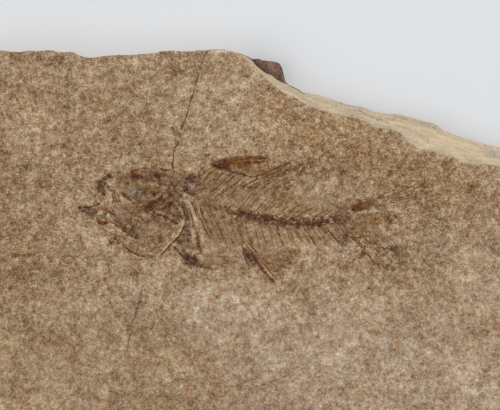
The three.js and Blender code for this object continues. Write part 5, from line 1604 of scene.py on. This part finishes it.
class Parts:
    """Collects closed shells and joins them in one mesh that lies on the stone."""

    def __init__(self):
        self.corners, self.loops, self.counts = [], [], []
        self.amounts = {stain: [] for stain in CHANNELS}
        self.total = 0

    def add(self, corners, loops, counts, amounts):
        self.corners.append(corners)
        self.loops.append(loops + self.total)
        self.counts.append(counts)
        for stain, kept in self.amounts.items():
            kept.append(np.broadcast_to(amounts.get(stain, 0.0), len(corners)))
        self.total += len(corners)

    def add_mesh(self, mesh, amounts=None, tone=None):
        """Takes in a grown mesh, with the amounts given or those that it carries."""

        def read(items, label, count, kind=int):
            values = np.zeros(count, kind)
            items.foreach_get(label, values)
            return values

        def carried(name):
            return read(mesh.attributes[name].data, "value", len(mesh.vertices), np.float32)

        if amounts is None:
            amounts = {stain: carried(stain) for stain in STAINS_AND_PAINTED_LIGHT if stain in mesh.attributes}
        if tone:
            amounts = {stain: amount * carried(tone) for stain, amount in amounts.items()}
        corners = read(mesh.vertices, "co", 3 * len(mesh.vertices), float).reshape(-1, 3) / MM
        loops = read(mesh.loops, "vertex_index", len(mesh.loops))
        self.add(corners, loops, read(mesh.polygons, "loop_total", len(mesh.polygons)), amounts)
        bpy.data.meshes.remove(mesh)

    def lay(self, name, material):
        """Joins the shells and lays them on the stone's face, whose stains and painted shade they share."""
        corners = np.vstack(self.corners)
        x, y = corners[:, 0], corners[:, 1]
        ground = Brush(x, y)
        paint_films(ground)
        corners[:, 2] += stone_height(x, y)
        mesh = bpy.data.meshes.new(name)
        loops, counts = np.concatenate(self.loops), np.concatenate(self.counts)
        mesh.vertices.add(len(corners))
        mesh.vertices.foreach_set("co", (corners * MM).ravel())
        mesh.loops.add(len(loops))
        mesh.loops.foreach_set("vertex_index", loops)
        mesh.polygons.add(len(counts))
        mesh.polygons.foreach_set("loop_start", np.cumsum(counts) - counts)
        mesh.update(calc_edges=True)
        laid = ground.amounts
        for label, values in self.amounts.items():
            laid[label] = np.maximum(laid[label], np.concatenate(values))
        clear_under_pale(laid)
        add_amounts(mesh, laid)
        mesh.validate()
        return placed(mesh, material)


# How finely a slender bone is bent, how full it is and how high it rises, in millimetres and by its width
LINE_STEP, LINE_FULLNESS = 0.6, 1.15
LINE_RISE, LINE_RISE_BY_WIDTH = 0.06, 0.16
# A plate's spacing, its rounded rim, how deep its face and its underside lie, and how strongly the bones'
# stains and painted highlights tint it
PLATE_SPACING, PLATE_MARGIN = 0.34, 0.6
PLATE_EDGE = 0.7
PLATE_SINK, PLATE_ROOT = 0.02, 0.12
PLATE_TINT = 1.4
PLATE_LUMP_SIZE, PLATE_LUMP_HEIGHT, PLATE_MOTTLES = 1.7, 0.4, ((0.7, 0.6, 53),)


def line_guides(bones):
    """The chains of a piece's slender bones, with their widths, stains and painted highlights at each point.
    """
    chains, marks = [], {label: [] for label in ("half_width", "flatness", *STAINS_AND_PAINTED_LIGHT)}
    for line in all_lines(bones):
        chain, _ = curved(from_photo(line.path), LINE_STEP)
        width = line.width * MM_PER_PIXEL
        flatness = 2 * (LINE_RISE + LINE_RISE_BY_WIDTH * width) / width
        half_width = LINE_FULLNESS * width / 2 * MM
        values = {"half_width": half_width, "flatness": flatness, line.stain: line.strength}
        for label, kept in marks.items():
            kept.append(np.full(len(chain), values.get(label, 0), float))
        chains.append(chain)
    return chains, {label: np.concatenate(kept) for label, kept in marks.items()}


def add_plate(parts, plate, seed):
    """A thin plate with a rounded rim and a slightly lumpy face."""
    outline = curved(looped(from_photo(plate.outline)), PLATE_SPACING)[0][:-1]
    rim = looped(outline)
    x, y = scatter(PLATE_SPACING, outline.min(0), outline.max(0), seed)
    keep = inside(x, y, outline) & (distance(x, y, rim) > PLATE_MARGIN * PLATE_SPACING)
    flat, faces, ring = filled(outline, np.stack([x[keep], y[keep]], 1))
    n = len(flat)
    x, y = flat.T
    lumpy = 1 + PLATE_LUMP_HEIGHT * lumps(x, y, PLATE_LUMP_SIZE, seed)
    crown = np.sqrt(soften(distance(x, y, rim) / PLATE_EDGE)) * lumpy
    top = np.column_stack([flat, plate.rise * crown - PLATE_SINK])
    bottom = np.column_stack([flat, np.full(n, -PLATE_ROOT)])
    a, b, c = (flat[faces[:, k]] for k in range(3))
    turn = (b[:, 0] - a[:, 0]) * (c[:, 1] - a[:, 1]) - (b[:, 1] - a[:, 1]) * (c[:, 0] - a[:, 0])
    faces[turn < 0] = faces[turn < 0][:, ::-1]
    after = np.roll(ring, -1)
    sides = np.stack([ring, ring + n, after + n, after], 1)
    around = rim[1:]
    if (outline[:, 0] * around[:, 1] - around[:, 0] * outline[:, 1]).sum() < 0:
        sides = sides[:, ::-1]
    loops = np.concatenate([faces.ravel(), (faces[:, ::-1] + n).ravel(), sides.ravel()])
    counts = np.repeat([3, 4], [2 * len(faces), len(sides)])
    brush = Brush(x, y)
    paint_bones(brush, PLATE_TINT)
    brush.lay(plate.stain, np.arange(n), plate.strength * (1 + layered(x, y, PLATE_MOTTLES)))
    amounts = {stain: np.tile(amount, 2) for stain, amount in brush.amounts.items()}
    parts.add(np.vstack([top, bottom]), loops, counts, amounts)


PLATE_SEED, FAN_SEED = 60, 5


def bone_piece(bones, settings, trees, material):
    """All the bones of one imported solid, in one mesh."""
    parts = Parts()
    for n, entry in enumerate(bones.plates):
        add_plate(parts, Plate(*entry), PLATE_SEED + n)
    shared = {"Material": material}
    parts.add_mesh(grown(trees["lines"], guide_mesh(*line_guides(bones)), shared))
    for n, fan in enumerate(fans_of(bones)):
        root_width, tip_width = (width * MM_PER_PIXEL * MM for width in fan.widths)
        sizes = {"Rays": fan.rays, "Root Width": root_width, "Tip Width": tip_width, "Bend": fan.bend}
        chains = [curved(from_photo(side), LINE_STEP)[0] for side in (fan.roots, fan.tips)]
        rays = grown(trees["fan"], guide_mesh(chains), {**sizes, "Seed": FAN_SEED + n, **shared})
        parts.add_mesh(rays, {fan.stain: fan.strength}, "tone")
    if bones is BACKBONE:
        chain, _ = curved(from_photo(COLUMN), LINE_STEP)
        length = np.hypot(*np.diff(chain, axis=0).T).sum() / settings.vertebrae
        width = settings.vertebra_width * MM
        sizes = {"Vertebrae": settings.vertebrae, "Width": width, "Length": length * MM, **shared}
        parts.add_mesh(grown(trees["column"], guide_mesh([chain]), sizes), {})
    piece = parts.lay(bones.piece, material)
    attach(piece, "root")
    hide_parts(bones.node)


SKULL_ROUGHNESS, BACKBONE_ROUGHNESS, FIN_ROUGHNESS = 0.62, 0.66, 0.58


def bone_pieces(group, roughness, scene):
    """Pieces that share one material, which is named after their slot."""
    material = bone_material(group[0].slot, scene.fossil_stone, roughness)
    sweep = sweep_tree()
    trees = {"lines": line_tree(sweep), "fan": fan_tree(sweep), "column": column_tree()}
    for bones in group:
        bone_piece(bones, scene.fossil_bones, trees, material)


class FOSSIL_OT_slab(bpy.types.Operator):
    """Make the split limestone slab with its cracks, slope, knob, stains, painted highlights and painted
    shade
    """
    bl_idname = "fossil.slab"
    bl_label = "Limestone slab"

    def execute(self, context):
        slab = slab_piece(context.scene.fossil_stone)
        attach(slab, "root")
        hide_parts("limestone_slab")
        return {"FINISHED"}


class FOSSIL_OT_head(bpy.types.Operator):
    """Make the bones of the head and the shoulder girdle"""
    bl_idname = "fossil.head"
    bl_label = "Head bones"

    def execute(self, context):
        bone_pieces(HEAD, SKULL_ROUGHNESS, context.scene)
        return {"FINISHED"}


class FOSSIL_OT_backbone(bpy.types.Operator):
    """Make the column of vertebrae with its ribs and spines"""
    bl_idname = "fossil.backbone"
    bl_label = "Backbone and ribs"

    def execute(self, context):
        bone_pieces([BACKBONE], BACKBONE_ROUGHNESS, context.scene)
        return {"FINISHED"}


class FOSSIL_OT_fins(bpy.types.Operator):
    """Make the rays and supports of the five fins"""
    bl_idname = "fossil.fins"
    bl_label = "Fins"

    def execute(self, context):
        bone_pieces(FINS, FIN_ROUGHNESS, context.scene)
        return {"FINISHED"}


FLOOR_CORNERS = [(-4000, -4000, 0), (4000, -4000, 0), (4000, 4000, 0), (-4000, 4000, 0)]
SENSOR_WIDTH, FARTHEST_SEEN = 36, 20
# Where the lamps hang and how wide they are, in metres
MAIN_LIGHT, MAIN_SIZE = (0.25, 0.75, 0.75), 0.5
FILL_LIGHT, FILL_SIZE = (-0.6, -0.2, 0.95), 0.9
SKY_COLOR = (0.96, 0.98, 1, 1)
FLOOR_ROUGHNESS, FLOOR_SPECULAR = 0.9, 0.2


def area_light(name, spot, aim, size, power):
    light = bpy.data.lights.new(name, "AREA")
    light.shape = "DISK"
    light.size = size
    light.energy = power
    lamp = bpy.data.objects.new(name, light)
    lamp.location = spot
    lamp.rotation_euler = (Vector(aim) - Vector(spot)).to_track_quat("-Z", "Y").to_euler()
    bpy.context.scene.collection.objects.link(lamp)


class FOSSIL_OT_stage(bpy.types.Operator):
    """Make the pale floor, the soft lights and the camera that looks down on the face"""
    bl_idname = "fossil.stage"
    bl_label = "Stage, lights and camera"

    def execute(self, context):
        scene = context.scene
        settings = scene.fossil_stage
        material = Recipe("pale_floor").finish(tuple(settings.floor), FLOOR_ROUGHNESS, FLOOR_SPECULAR)
        piece_from("floor", FLOOR_CORNERS, [(0, 1, 2, 3)], material, {})

        middle = from_photo((PHOTO_WIDTH / 2, PHOTO_HEIGHT / 2)) * MM
        aim = (middle[0], middle[1], FACE * MM)
        camera = bpy.data.cameras.new("camera")
        camera.sensor_width = SENSOR_WIDTH
        camera.lens = SENSOR_WIDTH * settings.camera_height / (PHOTO_WIDTH * MM_PER_PIXEL * MM)
        camera.clip_end = FARTHEST_SEEN
        viewer = bpy.data.objects.new("camera", camera)
        viewer.location = (aim[0], aim[1], aim[2] + settings.camera_height)
        scene.collection.objects.link(viewer)
        scene.camera = viewer

        area_light("main_light", MAIN_LIGHT, aim, MAIN_SIZE, settings.key_power)
        area_light("fill_light", FILL_LIGHT, aim, FILL_SIZE, settings.fill_power)
        world = bpy.data.worlds.new("soft_sky")
        world.use_nodes = True
        sky = world.node_tree.nodes["Background"].inputs
        sky["Color"].default_value = SKY_COLOR
        sky["Strength"].default_value = settings.sky_power
        scene.world = world
        scene.view_settings.view_transform = "Standard"
        return {"FINISHED"}


class FOSSIL_PT_panel(bpy.types.Panel):
    """Lists the fossil's pieces"""
    bl_label = "Fossil"
    bl_idname = "FOSSIL_PT_panel"
    bl_space_type = "VIEW_3D"
    bl_region_type = "UI"
    bl_category = "Fossil"

    def draw(self, context):
        layout = self.layout
        for group in ("fossil_stone", "fossil_bones", "fossil_stage"):
            settings = getattr(context.scene, group)
            for name in settings.bl_rna.properties.keys():
                if name not in ("rna_type", "name"):
                    layout.prop(settings, name)
        for operator in OPERATORS:
            layout.operator(operator.bl_idname)


OPERATORS = (FOSSIL_OT_slab, FOSSIL_OT_head, FOSSIL_OT_backbone, FOSSIL_OT_fins, FOSSIL_OT_stage)
GROUPS = (StoneSettings, BoneSettings, StageSettings)


def register():
    for item in (*GROUPS, *OPERATORS, FOSSIL_PT_panel):
        bpy.utils.register_class(item)
    bpy.types.Scene.fossil_stone = PointerProperty(type=StoneSettings)
    bpy.types.Scene.fossil_bones = PointerProperty(type=BoneSettings)
    bpy.types.Scene.fossil_stage = PointerProperty(type=StageSettings)


def unregister():
    del bpy.types.Scene.fossil_stage
    del bpy.types.Scene.fossil_bones
    del bpy.types.Scene.fossil_stone
    for item in reversed((*GROUPS, *OPERATORS, FOSSIL_PT_panel)):
        bpy.utils.unregister_class(item)


def main():
    register()
    bpy.ops.fossil.slab()
    bpy.ops.fossil.head()
    bpy.ops.fossil.backbone()
    bpy.ops.fossil.fins()
    bpy.ops.fossil.stage()


if __name__ == "__main__":
    main()
